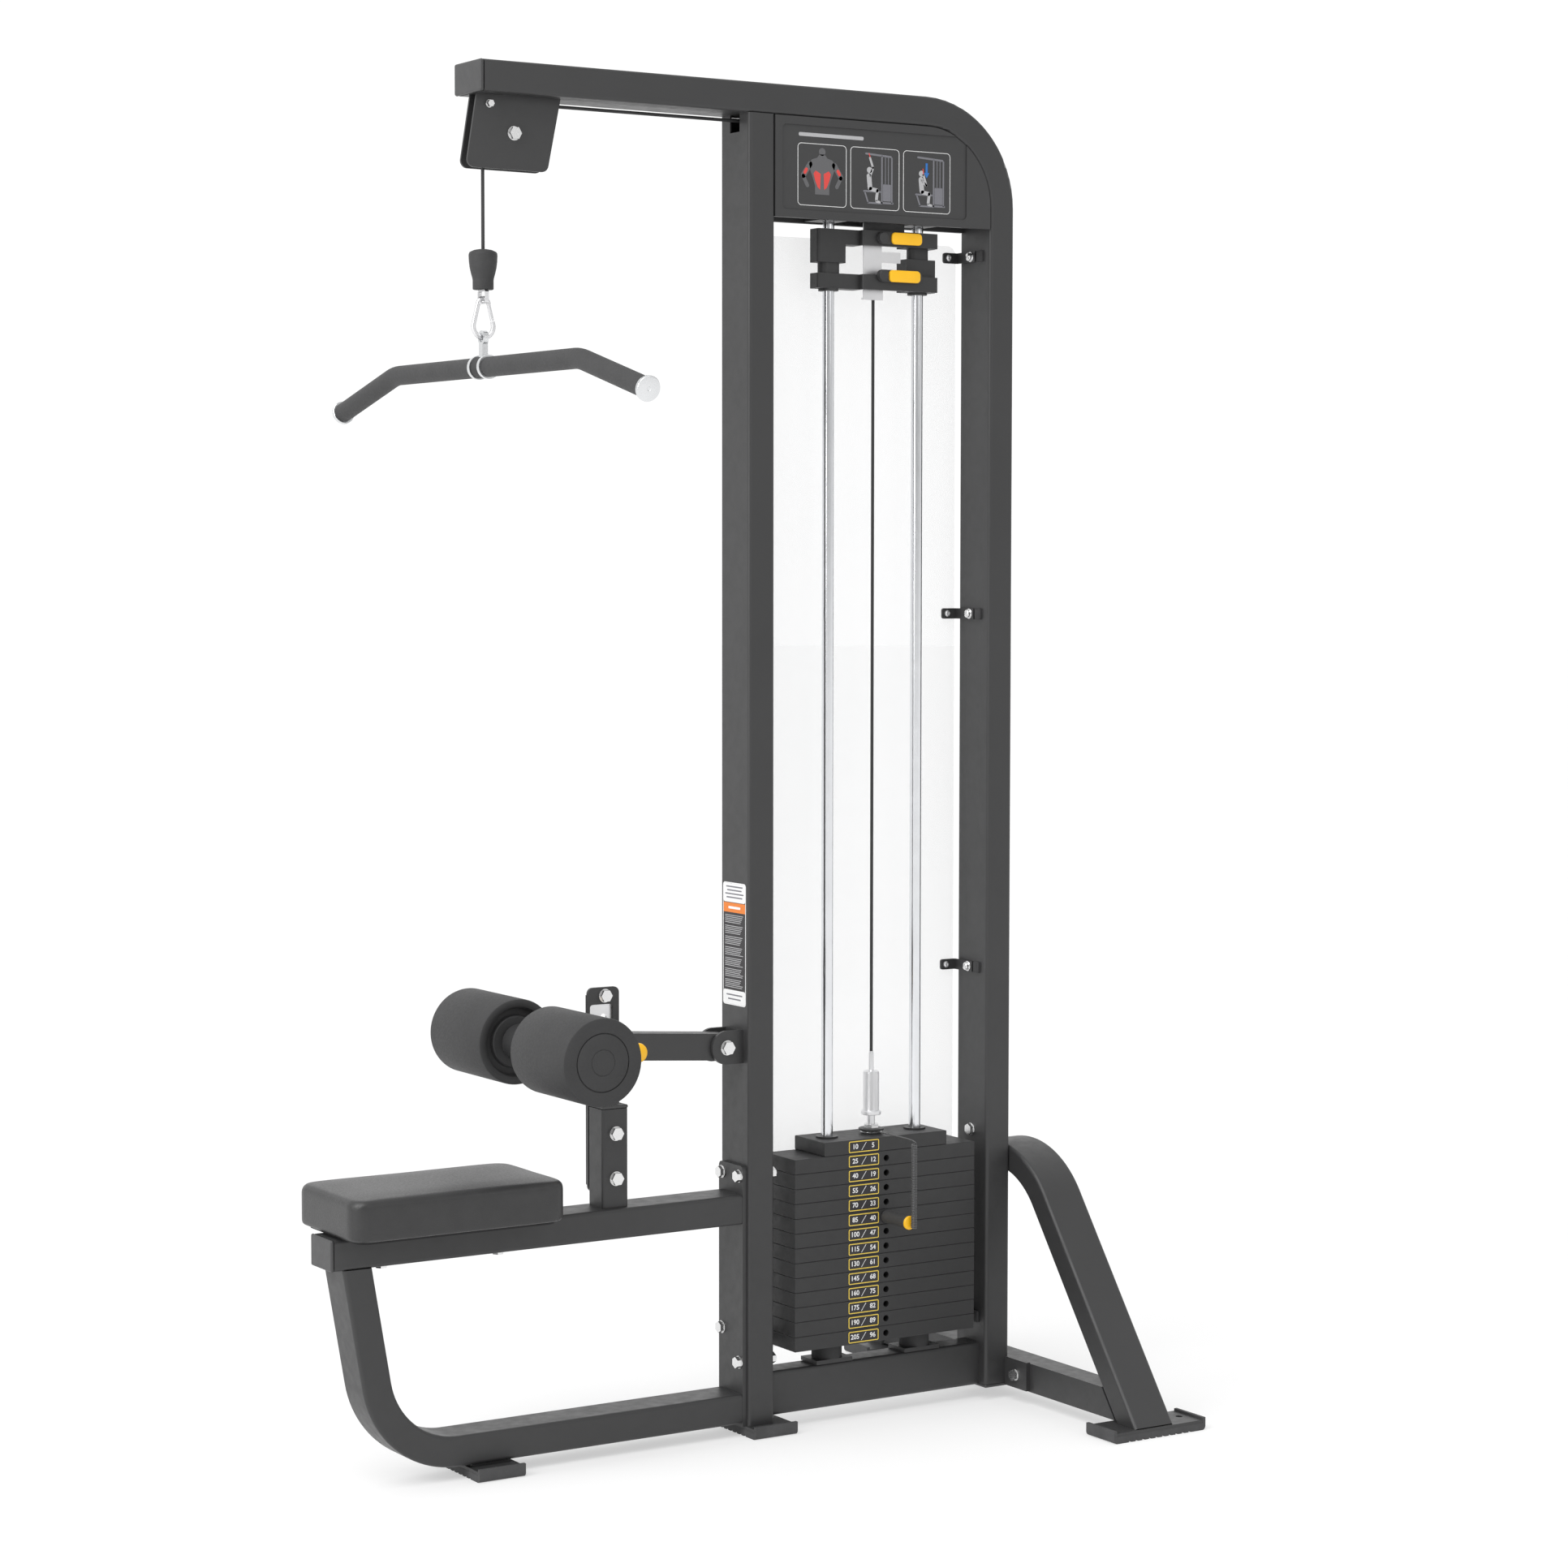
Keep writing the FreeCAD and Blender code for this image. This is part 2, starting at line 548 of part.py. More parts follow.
def weight_plate(number):
    """Flat plate with two guide holes, the selector-rod hole and a pin hole from the front."""
    low = plate_z(number)
    half, deep = "plate_long / 2", "plate_deep / 2"
    block = rounded(box(f"stack_x - {half}", f"stack_x + {half}", f"-{deep}", deep, low,
                        f"{low} + plate_thick"), 1.5, lambda edge: True)
    holes = [rod("z", x, 0, 100, "rod_radius + 1", 500) for x in rods_x()]
    holes.append(rod("z", "stack_x", 0, 100, "selector_radius + 0.6", 500))
    holes.append(rod("y", "stack_x", f"-{deep} - 1", f"{low} + plate_thick / 2", "pin_radius + 0.7",
                     f"{deep} + 22"))
    return cut(block, *holes)


def weight_plates():
    for number in range(1, LIFTED_PLATES + 1):
        node(f"weight_plate_{number:02d}", weight_plate(number))
    resting = [weight_plate(number) for number in range(LIFTED_PLATES + 1, PLATE_COUNT + 1)]
    node("resting_weight_plates", group(*resting))


TOP_Z = f"stack_bottom + {PLATE_COUNT} * plate_pitch"


def top_weight_plate():
    half, deep = "top_plate_long / 2", "plate_deep / 2"
    block = rounded(box(f"stack_x - {half}", f"stack_x + {half}", f"-{deep}", deep, TOP_Z,
                        f"{TOP_Z} + top_plate_thick"), 1.5, lambda edge: True)
    holes = [rod("z", x, 0, 400, "14.1", 200) for x in rods_x()]
    holes.append(rod("z", "stack_x", 0, 400, "selector_radius + 0.05", 200))
    node("top_weight_plate", cut(block, *holes))
    bushings = []
    for x in rods_x():
        sleeve = fuse(rod("z", x, 0, TOP_Z, "14", "top_plate_thick + 2"),
                      rod("z", x, 0, f"{TOP_Z} + top_plate_thick", "19", "3"))
        bushings.append(cut(sleeve, rod("z", x, 0, 400, "rod_radius + 0.3", 200)))
    node("rod_bushings", group(*bushings))


def selector():
    """Selector rod with its cross holes, the cable end fitting above it, and the pin."""
    length = f"{TOP_Z} + top_plate_thick - (stack_bottom + 1)"
    shaft = rod("z", "stack_x", 0, "stack_bottom + 1", "selector_radius", length)
    holes = [rod("y", "stack_x", -30, f"{plate_z(number)} + plate_thick / 2", "pin_radius + 0.5", 60)
             for number in range(1, PLATE_COUNT + 1)]
    node("selector_rod", cut(shaft, *holes))
    base = f"{TOP_Z} + top_plate_thick"
    stages = [(0, 22, 3), (3, 14, 5.5), (8.5, 7, 26), (32.5, 17.5, 6), (38.5, 14, 69)]
    pieces = [rod("z", "stack_x", 0, f"{base} + {start}", radius, length)
              for start, radius, length in stages]
    pieces.append(rod("z", "stack_x", 0, f"{base} + 107", 4.2, f"fitting_top - ({base} + 107)"))
    node("cable_end_fitting", fuse(*pieces))
    pin_z = f"{plate_z(LIFTED_PLATES)} + plate_thick / 2"
    handle = rounded(rod("y", "stack_x", -120, pin_z, 12, 72), 2,
                     lambda edge: edge.CenterOfMass.y < -100 and edge.Curve.TypeId == "Part::GeomCircle")
    node("selector_pin", fuse(handle, rod("y", "stack_x", -50, pin_z, "pin_radius", 64)))


def pin_lanyard():
    """Coiled lanyard as one fat tube, with the straight wire from the fitting's collar."""
    x, y = "stack_x + 3.5", -126
    wire_top, coil_top, coil_low = 487, 482, 337
    coil = rod("z", x, y, coil_low, 5.25, coil_top - coil_low)
    wire = rod("y", x, -127, wire_top, 0.9, 108)
    drop = rod("z", x, y, coil_top - 1, 0.9, wire_top - coil_top + 1)
    hook = rod("y", x, -123, coil_low + 5, 1.2, 2.8)
    return node("pin_lanyard", fuse(coil, wire, drop, hook))


# ---------------------------------------------------------------- add-on weights
def addon_weights():
    """Two interlocking weights: each has a tall block on one rod and a thin arm to the other."""
    left, right = "stack_x - addon_half", "stack_x + addon_half"
    deep = "addon_deep / 2"
    shapes = [("upper_addon_weight", 1988.5, (left, f"{left} + 57", 1958), 30.5),
              ("lower_addon_weight", 1915, (f"{right} - 73.5", right, 1915), 55)]
    for label, arm_low, (block_left, block_right, block_low), block_tall in shapes:
        arm = rounded(box(left, right, f"-{deep}", deep, arm_low, f"{arm_low} + addon_arm"), 6,
                      along((0, 0, 1)))
        block_high = f"{block_low} + {block_tall}"
        block = rounded(box(block_left, block_right, f"-{deep}", deep, block_low, block_high), 6,
                        along((0, 0, 1)))
        boss = rounded(box("stack_x - 38", f"{right} - 4", -27, -13, arm_low, f"{arm_low} + addon_arm"), 5,
                       lambda edge: along((0, 0, 1))(edge) and edge.CenterOfMass.y < -20)
        sleeves = addon_sleeves(label)
        notch = box("stack_x - 31", "stack_x + 58", -16.5, 20, 1900, 2030)
        bores = [rod("z", x, 0, 1890, "rod_radius + 0.5", 150) for x in rods_x()]
        node(label, cut(fuse(arm, block, boss, *sleeves), notch, *bores))
    for label, z in (("upper_latch_lever", 2001.5), ("lower_latch_lever", 1938.5)):
        stadium = rounded(box("stack_x - 12", "stack_x + 80", -35.4, -27.3, z - 10.5, z + 10.5), 10,
                          along((0, 1, 0)))
        pivot = rod("y", "stack_x - 1.5", -36.4, z, 4, 9.1)
        node(label, fuse(stadium, pivot))


def addon_sleeves(label):
    left, right = rods_x()
    if label == "upper_addon_weight":
        return [rounded(box(f"{x} - 19", f"{x} + 19", -12, 12, low, high), 11, along((0, 0, 1)))
                for x, low, high in ((left, 1940.5, 1959), (right, 1970.5, 1990))]
    return [rod("z", x, 0, 1911, 17, 5) for x in (left, right)]


def addon_bracket():
    """Folded sheet behind the latches, hung from the front sign panel."""
    left, right = "stack_x - 27", "stack_x + 54"
    web = box(left, "stack_x + 9.5", -12, -9, 1925, 2040)
    tab = box("stack_x + 9", "stack_x + 47.5", -12, -9, 1962, 1980)
    tongue = box(left, "stack_x + 12", -12, -9, 1899, 1926)
    lip = box(left, "stack_x + 12", -12, -4.5, 1899, 1902)
    shelf = box(left, right, -35, -9, 2037, 2040)
    flange = box(left, right, -35, -32, 2037, 2070)
    return node("addon_bracket", fuse(web, tab, tongue, lip, shelf, flange))


# ---------------------------------------------------------------- covers
def sign_panel(label, low_y):
    """Cover between the uprights; its top corner follows the main tube's bend."""
    body = doc.addObject("PartDesign::Body", "Sign")
    outline = sketch_on(body, "XZ_Plane", f"{-low_y} - sign_thick")
    left, right = "(tube_deep / 2 + 0.5)", "(rear_x - tube_deep / 2 - 0.5)"
    top, low = "(frame_top - tube_deep - 0.5)", "sign_bottom"
    inner = value("bend_radius - tube_deep / 2 - 0.5")
    x0, x1, z0, z1 = value(left), value(right), value(low), value(top)
    corners = [Vector(x0, z0, 0), Vector(x1, z0, 0), Vector(x1, z1 - inner, 0),
               Vector(x1 - inner, z1, 0), Vector(x0, z1, 0)]
    for start, end in ((0, 1), (1, 2), (3, 4), (4, 0)):
        outline.addGeometry(Part.LineSegment(corners[start], corners[end]), False)
    circle = Part.Circle(Vector(x1 - inner, z1 - inner, 0), Vector(0, 0, 1), inner)
    outline.addGeometry(Part.ArcOfCircle(circle, 0, math.pi / 2), False)
    for first, first_end, second, second_end in ((0, 2, 1, 1), (2, 2, 3, 1), (3, 2, 0, 1)):
        outline.addConstraint(Sketcher.Constraint("Coincident", first, first_end, second, second_end))
    outline.addConstraint(Sketcher.Constraint("Tangent", 1, 2, 4, 1))
    outline.addConstraint(Sketcher.Constraint("Tangent", 4, 2, 2, 1))
    outline.addConstraint(Sketcher.Constraint("Vertical", 1))
    outline.addConstraint(Sketcher.Constraint("Horizontal", 2))
    pin_point(outline, (0, 1), left, low)
    pin_point(outline, (1, 1), right, low)
    pin_point(outline, (3, 1), left, top)
    dimension(outline, "Radius", 4, size="bend_radius - tube_deep / 2 - 0.5")
    pad(body, outline, "sign_thick")
    face = low_y if low_y < 0 else f"{low_y} + sign_thick - 2"
    recess = rounded(box("tube_deep / 2 + 14", "rear_x - tube_deep / 2 - 50", face, f"{face} + 2",
                         "sign_bottom + 13", "frame_top - tube_deep - 14"), 8, along((0, 1, 0)))
    return node(label, cut(body, recess))


def rear_shroud():
    panel = box("tube_deep / 2 + 10", "rear_x - tube_deep / 2 - 4", "shroud_y", "shroud_y + 2",
                "shroud_bottom", "shroud_top")
    panel = rounded(panel, 18, along((0, 1, 0)))
    holes = [rod("y", x, 40, z, 3.1, 30) for x in ("tube_deep / 2 + 20", "rear_x - tube_deep / 2 - 20")
             for z in CLIP_HEIGHTS]
    return node("rear_shroud", cut(panel, *holes))


def shroud_clips():
    """Angle clips that hold the shroud to the two uprights, with their screws."""
    pieces = []
    for z in CLIP_HEIGHTS:
        for face, way in (("(rear_x - tube_deep / 2)", -1), ("(tube_deep / 2)", 1)):
            reach = [f"{face} + {way * 32}", f"{face} + {way * 0.1}"]
            low, high = reach if way < 0 else reach[::-1]
            tab = box(low, high, "shroud_y - 4", "shroud_y", z - 9, z + 9)
            tab = rounded(tab, 4, along((0, 1, 0)))
            flange_ends = [f"{face} + {way * 4}", f"{face} + {way * 0.1}"]
            low, high = flange_ends if way < 0 else flange_ends[::-1]
            flange = box(low, high, -4, "shroud_y - 2", z - 9, z + 9)
            screw = rod("y", f"{face} + {way * 20}", "shroud_y + 2", z, 5, 3)
            shank = rod("y", f"{face} + {way * 20}", "shroud_y - 2", z, 3, 6)
            pieces.append(fuse(tab, flange, screw, shank))
    return node("shroud_clips", group(*pieces))


# ---------------------------------------------------------------- cable drive
def pulley_places():
    return ["-front_pulley_x", "stack_x - pulley_radius"]


def pulleys():
    for label, x in zip(("front_pulley", "rear_pulley"), pulley_places()):
        half = "pulley_wide / 2"
        disc = rod("y", x, f"-{half}", "pulley_z", "pulley_flange", "pulley_wide")
        groove = doc.addObject("Part::Torus", "Groove")
        bind(groove, Radius1="pulley_radius", Radius2="cable_radius + 0.4")
        aim(groove, "y")
        place(groove, x, 0, "pulley_z")
        ring = cut(rod("y", x, -3.15, "pulley_z", "pulley_flange + 1", 6.3),
                   rod("y", x, -4, "pulley_z", "pulley_radius", 8))
        dishes = [cut(rod("y", x, y, "pulley_z", 38, 5), rod("y", x, f"{y} - 1", "pulley_z", 15, 7))
                  for y in (f"-{half} - 2", f"{half} - 3")]
        bore = rod("y", x, -20, "pulley_z", "axle_radius + 0.08", 40)
        node(label, cut(disc, groove, ring, bore, *dishes))


def pulley_brackets():
    """Pairs of slanted plates under the beam; the rear pair is the front pair turned round."""
    plates = []
    for x, way in zip(pulley_places(), (1, -1)):
        for low_y in ("-bracket_gap / 2 - bracket_plate", "bracket_gap / 2"):
            body = doc.addObject("PartDesign::Body", "BracketPlate")
            outline = sketch_on(body, "XZ_Plane", f"-({low_y}) - bracket_plate")
            polygon(outline, [(f"{x} - {65 * way}", "frame_top - tube_deep"),
                              (f"{x} - {84 * way}", "pulley_z - 56.5"),
                              (f"{x} + {60 * way}", "pulley_z - 57.5"),
                              (f"{x} + {84 * way}", "frame_top - tube_deep")])
            pad(body, outline, "bracket_plate")
            plate = rounded(body, 12, lambda edge: along((0, 1, 0))(edge) and edge.CenterOfMass.z < 2150)
            plates.append(cut(plate, rod("y", x, -30, "pulley_z", "axle_radius + 0.02", 60),
                              rod("y", f"{x} - {43.5 * way}", -30, "pulley_z + 43.5", 3.05, 60)))
    return node("pulley_brackets", group(*plates))


def pulley_axles():
    outer = "-bracket_gap / 2 - bracket_plate"
    grip = "bracket_gap + 2 * bracket_plate"
    pieces = []
    for x, way in zip(pulley_places(), (1, -1)):
        pieces.append(bolt("y", x, outer, "pulley_z", grip, radius="axle_radius", flats="18"))
        pieces.append(bolt("y", f"{x} - {43.5 * way}", outer, "pulley_z + 43.5", grip, radius="3",
                           flats="10"))
    return node("pulley_axles", group(*pieces))


def tube_along(edges, radius):
    """Round tube swept along joined edges; its volume is checked against its length."""
    wire = Part.Wire(edges)
    start = wire.OrderedVertexes[0].Point
    first = wire.OrderedEdges[0]
    tangent = first.tangentAt(first.FirstParameter)
    profile = Part.Wire([Part.makeCircle(radius, start, tangent)])
    solid = wire.makePipeShell([profile], True, False, 1)
    expected = math.pi * radius ** 2 * wire.Length
    if abs(solid.Volume - expected) > 0.01 * expected:
        raise RuntimeError("tube volume differs from its section times its length")
    item = doc.addObject("Part::Feature", "TubeAlong")
    item.Shape = solid
    return item


def arc_edge(start, middle, end):
    return Part.Arc(start, middle, end).toShape()


def line_edge(start, end):
    return Part.LineSegment(start, end).toShape()


def cables():
    """Steel cable: over both pulleys, down to the stack and down to the bar."""
    r, z = value("pulley_radius"), value("pulley_z")
    front, rear = [value(x) for x in pulley_places()]
    slant = r * math.sqrt(0.5)
    over = [arc_edge(Vector(front - r, 0, z), Vector(front - slant, 0, z + slant), Vector(front, 0, z + r)),
            line_edge(Vector(front, 0, z + r), Vector(rear, 0, z + r)),
            arc_edge(Vector(rear, 0, z + r), Vector(rear + slant, 0, z + slant), Vector(rear + r, 0, z))]
    node("cable_over_pulleys", tube_along(over, value("cable_radius")))
    node("stack_cable", rod("z", "stack_x", 0, "fitting_top", "cable_radius", "pulley_z - fitting_top"))
    node("bar_cable", rod("z", "-front_pulley_x - pulley_radius", 0, "stopper_top", "cable_radius",
                          "pulley_z - stopper_top"))


BAR_X = "-front_pulley_x - pulley_radius"


def cable_end():
    """Rubber stopper, steel shackle, carabiner and its gate."""
    node("cable_stopper", fuse(cone(BAR_X, 0, 1886.5, 18.5, 26, 50), cone(BAR_X, 0, 1936.5, 26, 17, 13.5)))
    loop = box(f"{BAR_X} - 3.2", f"{BAR_X} + 3.2", -13.5, 13.5, 1864.4, 1886.4)
    opening = box(f"{BAR_X} - 10", f"{BAR_X} + 10", -11, 11, 1866.9, 1884)
    node("cable_shackle", cut(rounded(loop, 5, along((1, 0, 0))), rounded(opening, 3, along((1, 0, 0)))))
    carabiner(value(BAR_X))


def carabiner(bar_x):
    """Pear-shaped snap link, narrow at the top, with the gate on its right side."""
    wire_radius, top_z, low_z, small, large = 3.9, 1864, 1829, 9, 17.5
    lean = math.asin((large - small) / (top_z - low_z))

    def point(side, centre_z, radius):
        return Vector(bar_x + side * radius * math.cos(lean), 0, centre_z + radius * math.sin(lean))
    top_left, top_right = point(-1, top_z, small), point(1, top_z, small)
    low_left, low_right = point(-1, low_z, large), point(1, low_z, large)
    side = top_right - low_right
    body = [line_edge(low_right + side * 0.92, top_right),
            arc_edge(top_right, Vector(bar_x, 0, top_z + small), top_left),
            line_edge(top_left, low_left),
            arc_edge(low_left, Vector(bar_x, 0, low_z - large), low_right),
            line_edge(low_right, low_right + side * 0.12)]
    node("carabiner", tube_along(body, wire_radius))
    hinge = low_right + side * 0.25
    rivet = rod("y", hinge.x, -4.4, hinge.z, 1.5, 8.8)
    blade = tube_along([line_edge(low_right + side * 0.16, low_right + side * 0.905)], 3.2)
    node("carabiner_gate", fuse(blade, rivet))


# ---------------------------------------------------------------- bar
def lat_bar():
    """Wide bar that dips at both ends, hung by a flat strap at its middle."""
    bar_x = value(BAR_X)
    z, bend_y, end_y, end_z = value("bar_z"), value("bar_bend_y"), value("bar_end_y"), value("bar_end_z")
    radius, grip = value("bar_tube_radius"), value("grip_radius")
    tube = tube_along(bar_path(bar_x, z, bend_y, end_y, end_z, 0), radius)
    collars = [rod("y", BAR_X, y, "bar_z", 19, 8) for y in (-20.5, 12.5)]
    hub = rod("y", BAR_X, -20.5, "bar_z", 15.5, 41)
    neck = box(f"{BAR_X} - 5", f"{BAR_X} + 5", -6, 6, "bar_z + 8", "bar_z + 37.5")
    eye = rod("x", f"{BAR_X} - 4", 0, "bar_z + 46.5", 11.5, 8)
    eye_hole = rod("x", f"{BAR_X} - 12", 0, "bar_z + 46.5", 7, 24)
    node("lat_bar", cut(fuse(tube, hub, *collars, neck, eye), eye_hole))
    sleeves, caps = [], []
    for side in (-1, 1):
        edges = bar_path(bar_x, z, bend_y, end_y, end_z, side)
        outer = tube_along(edges, grip)
        inner = tube_along(edges, radius + 0.1)
        sleeves.append(cut(outer, inner))
        tip = Vector(bar_x, side * end_y, end_z)
        along_end = (tip - Vector(bar_x, side * bend_y, z)).normalize()
        cap = doc.addObject("Part::Feature", "EndCap")
        cap.Shape = Part.makeCylinder(19.5, 7, tip, along_end)
        caps.append(cap)
    node("bar_grips", group(*sleeves))
    node("bar_end_caps", group(*caps))


def bar_path(bar_x, z, bend_y, end_y, end_z, side):
    """The bar's centre line: the whole of it for side 0, or one grip from the collar outwards."""
    tilt = math.atan2(z - end_z, end_y - bend_y)
    trim = 16

    def half(way, start_y):
        before = Vector(bar_x, way * (bend_y - trim), z)
        after = Vector(bar_x, way * (bend_y + trim * math.cos(tilt)), z - trim * math.sin(tilt))
        radius = trim * math.tan((math.pi - tilt) / 2)
        centre_z = z - radius
        middle = Vector(bar_x, way * (bend_y - trim + radius * math.sin(tilt / 2)),
                        centre_z + radius * math.cos(tilt / 2))
        end = Vector(bar_x, way * end_y, end_z)
        return [line_edge(Vector(bar_x, way * start_y, z), before), arc_edge(before, middle, after),
                line_edge(after, end)]
    if side:
        return half(side, 21)
    right, left = half(1, 0), half(-1, 0)
    straight = line_edge(left[0].Vertexes[1].Point, right[0].Vertexes[1].Point)
    return left[:0:-1] + [straight] + right[1:]


# ---------------------------------------------------------------- seat
def seat():
    left, right = "-pad_right - pad_long", "-pad_right"
    half = "pad_wide / 2"
    board = rounded(box(f"{left} + 14", f"{right} - 14", f"-{half} + 14", f"{half} - 14",
                        "seat_beam_top", "seat_beam_top + board_thick"), 20, along((0, 0, 1)))
    holes = [bolt_hole("z", x, 0, 350, 75) for x in SEAT_BOLTS_X]
    node("seat_board", cut(board, *holes))
    cushion = rounded(box(left, right, f"-{half}", half, "seat_beam_top + 4",
                          "seat_beam_top + 4 + pad_thick"), 30, along((0, 0, 1)))
    top = value("seat_beam_top + 3 + pad_thick")
    cushion = rounded(cushion, 12, lambda edge: edge.CenterOfMass.z > top)
    recess = rounded(box(f"{left} + 13.5", f"{right} - 13.5", f"-{half} + 13.5", f"{half} - 13.5",
                         "seat_beam_top", "seat_beam_top + board_thick + 0.5"), 20, along((0, 0, 1)))
    node("seat_pad", cut(cushion, recess))


# ---------------------------------------------------------------- thigh rollers
HOLE_STEP = 6
HOLE_STEPS = range(-2, 3)


def arm_point(reach, steps=0):
    """Position on the arm's circle about its pivot; steps counts holes above the rest hole."""
    angle = math.radians(value("arm_tilt") + steps * HOLE_STEP)
    return (f"-pivot_x - ({reach}) * {math.cos(angle):.6f}", f"pivot_z + ({reach}) * {math.sin(angle):.6f}")


def roller_post():
    tube = straight_tube("XY_Plane", "seat_beam_top", "-post_x - post_deep / 2 + 1", "-post_wide / 2",
                         "post_deep - 2", "post_wide", "post_top - seat_beam_top")
    holes = [bolt_hole("y", "-post_x", -60, z, 120) for z in POST_BOLTS_Z]
    return node("roller_post", cut(tube, *holes))


RAIL_Y = "(post_wide / 2)"
RAIL_BOLT_X = -259.5


def roller_rail():
    """Rail plate on the post's far side, with a window onto the hole strip."""
    low_y, high_y = RAIL_Y, f"{RAIL_Y} + 5"
    plate = rounded(box(-291, -232.5, low_y, high_y, 428, 764), 10, along((0, 1, 0)))
    flange = box(-291, -287.5, low_y, f"{low_y} + 8", 440, 752)
    window = rounded(box(-287, -244, low_y, high_y, 574, 736), 5, along((0, 1, 0)))
    holes = [bolt_hole("y", "-post_x", -60, z, 120) for z in POST_BOLTS_Z]
    holes.append(bolt_hole("y", RAIL_BOLT_X, 0, 750, 60))
    holes.append(bolt_hole("y", RAIL_BOLT_X, 0, 558, 60, radius="3.1"))
    node("roller_rail", cut(fuse(plate, flange), window, *holes))
    strip = box(-287, -240, high_y, f"{high_y} + 4", 545, 760)
    pin_holes = []
    for steps in HOLE_STEPS:
        x, z = arm_point("pin_reach", steps)
        pin_holes.append(rod("y", x, 0, z, 5.6, 60))
    holes = [bolt_hole("y", RAIL_BOLT_X, 0, 750, 60), bolt_hole("y", RAIL_BOLT_X, 0, 558, 60, radius="3.1")]
    return node("rail_hole_strip", cut(strip, *pin_holes, *holes))


def roller_clevis():
    """U-shaped pivot bracket on the front upright."""
    gap, outer = "arm_wide / 2 + 0.8", "arm_wide / 2 + 6.8"
    block = box("-pivot_x - 28", "-tube_deep / 2", f"-({outer})", outer, "pivot_z - 28", "pivot_z + 28")
    block = rounded(block, 27.5, lambda edge: along((0, 1, 0))(edge) and edge.CenterOfMass.x < -60)
    slot = box("-pivot_x - 40", "-tube_deep / 2 - 6", f"-({gap})", gap, "pivot_z - 40", "pivot_z + 40")
    return node("roller_clevis", cut(block, slot, rod("y", "-pivot_x", -60, "pivot_z", 6.05, 120)))


def roller_arm():
    """Square arm from the pivot to the cross axle that carries both rollers."""
    half = "arm_tall / 2"
    bar = box("-arm_reach + 24", 0, "-arm_wide / 2", "arm_wide / 2", f"-{half}", half)
    bar = rounded(bar, 3, along((1, 0, 0)))
    pivot_end = rounded(rod("y", 0, "-arm_wide / 2", 0, half, "arm_wide"), 3,
                        lambda edge: edge.Curve.TypeId == "Part::GeomCircle")
    hub = rod("y", "-arm_reach", "-roller_start + 3", 0, 30, "2 * roller_start - 6")
    axle = rod("y", "-arm_reach", "-roller_start - roller_long + 12", 0, 11,
               "2 * (roller_start + roller_long - 12)")
    bores = [rod("y", 0, -60, 0, 6.08, 120), rod("y", "-pin_reach", -60, 0, 6.1, 120)]
    hollow = box("-arm_reach + 31", -26, "3 - arm_wide / 2", "arm_wide / 2 - 3",
                 f"3 - {half}", f"{half} - 3")
    shape = cut(fuse(bar, pivot_end, hub, axle), hollow, *bores)
    turn(shape, (0, 1, 0), value("arm_tilt"))
    place(shape, "-pivot_x", 0, "pivot_z")
    node("roller_arm", shape)
    x, z = arm_point("pin_reach")
    knob = rounded(rod("y", x, -104, z, 15.8, 28), 3, lambda edge: edge.Curve.TypeId == "Part::GeomCircle")
    node("arm_pull_pin", fuse(knob, rod("y", x, -79, z, 11, "59.7 - arm_wide / 2"),
                              rod("y", x, -50, z, 6, "50 + post_wide / 2 + 4.5")))


def foam_rollers():
    x, z = arm_point("arm_reach")
    for label, side in (("foam_roller_right", -1), ("foam_roller_left", 1)):
        inner, outer = "roller_start", "roller_start + roller_long"
        low = f"-({outer})" if side < 0 else inner
        foam = rod("y", x, low, z, "roller_radius", "roller_long")
        foam = rounded(foam, 5, lambda edge: edge.Curve.TypeId == "Part::GeomCircle")
        end = f"-({outer}) - 1" if side < 0 else f"{outer} - 2"
        ring = cut(rod("y", x, end, z, 47, 3), rod("y", x, end, z, 45, 3))
        start = "-roller_start - 14" if side < 0 else "roller_start - 1"
        recess = rod("y", x, start, z, 52, 15)
        bore_start = f"-({outer}) + 8" if side < 0 else "roller_start - 1"
        bore = rod("y", x, bore_start, z, 11.3, "roller_long - 7")
        node(label, cut(foam, ring, recess, bore))


# ---------------------------------------------------------------- fasteners in place
def frame_bolts():
    face = "-tube_deep / 2 - back_plate"
    pieces = [bolt("x", face, y, z, "tube_deep + back_plate") for y, z in UPRIGHT_BOLTS]
    pieces += [bolt("z", x, 0, "seat_beam_top - seat_beam_tall", "seat_beam_tall + 8", nut=False)
               for x in SEAT_BOLTS_X]
    pieces += [bolt("y", "-post_x", "-post_wide / 2", z, "post_wide + 5", flats="19") for z in POST_BOLTS_Z]
    pieces.append(bolt("y", RAIL_BOLT_X, RAIL_Y, 750, 9, flats="18"))
    ear_face = "rear_x + tube_deep / 2 - back_plate"
    pieces += [bolt("x", ear_face, y, EAR_BOLT[1], "cross_deep + back_plate") for y in (76, -76)]
    pieces.append(bolt("x", "rear_x - tube_deep / 2", 0, TAB_BOLT_Z, "tube_deep + back_plate"))
    outer = "arm_wide / 2 + 6.8"
    pieces.append(bolt("y", "-pivot_x", f"-({outer})", "pivot_z", f"2 * ({outer})", radius="6", flats="20"))
    pieces += [rod("x", "rear_x - tube_deep / 2 - 3", y, z, 7, 3) for z in CLIP_HEIGHTS for y in (-16,)]
    return node("frame_bolts", group(*pieces))


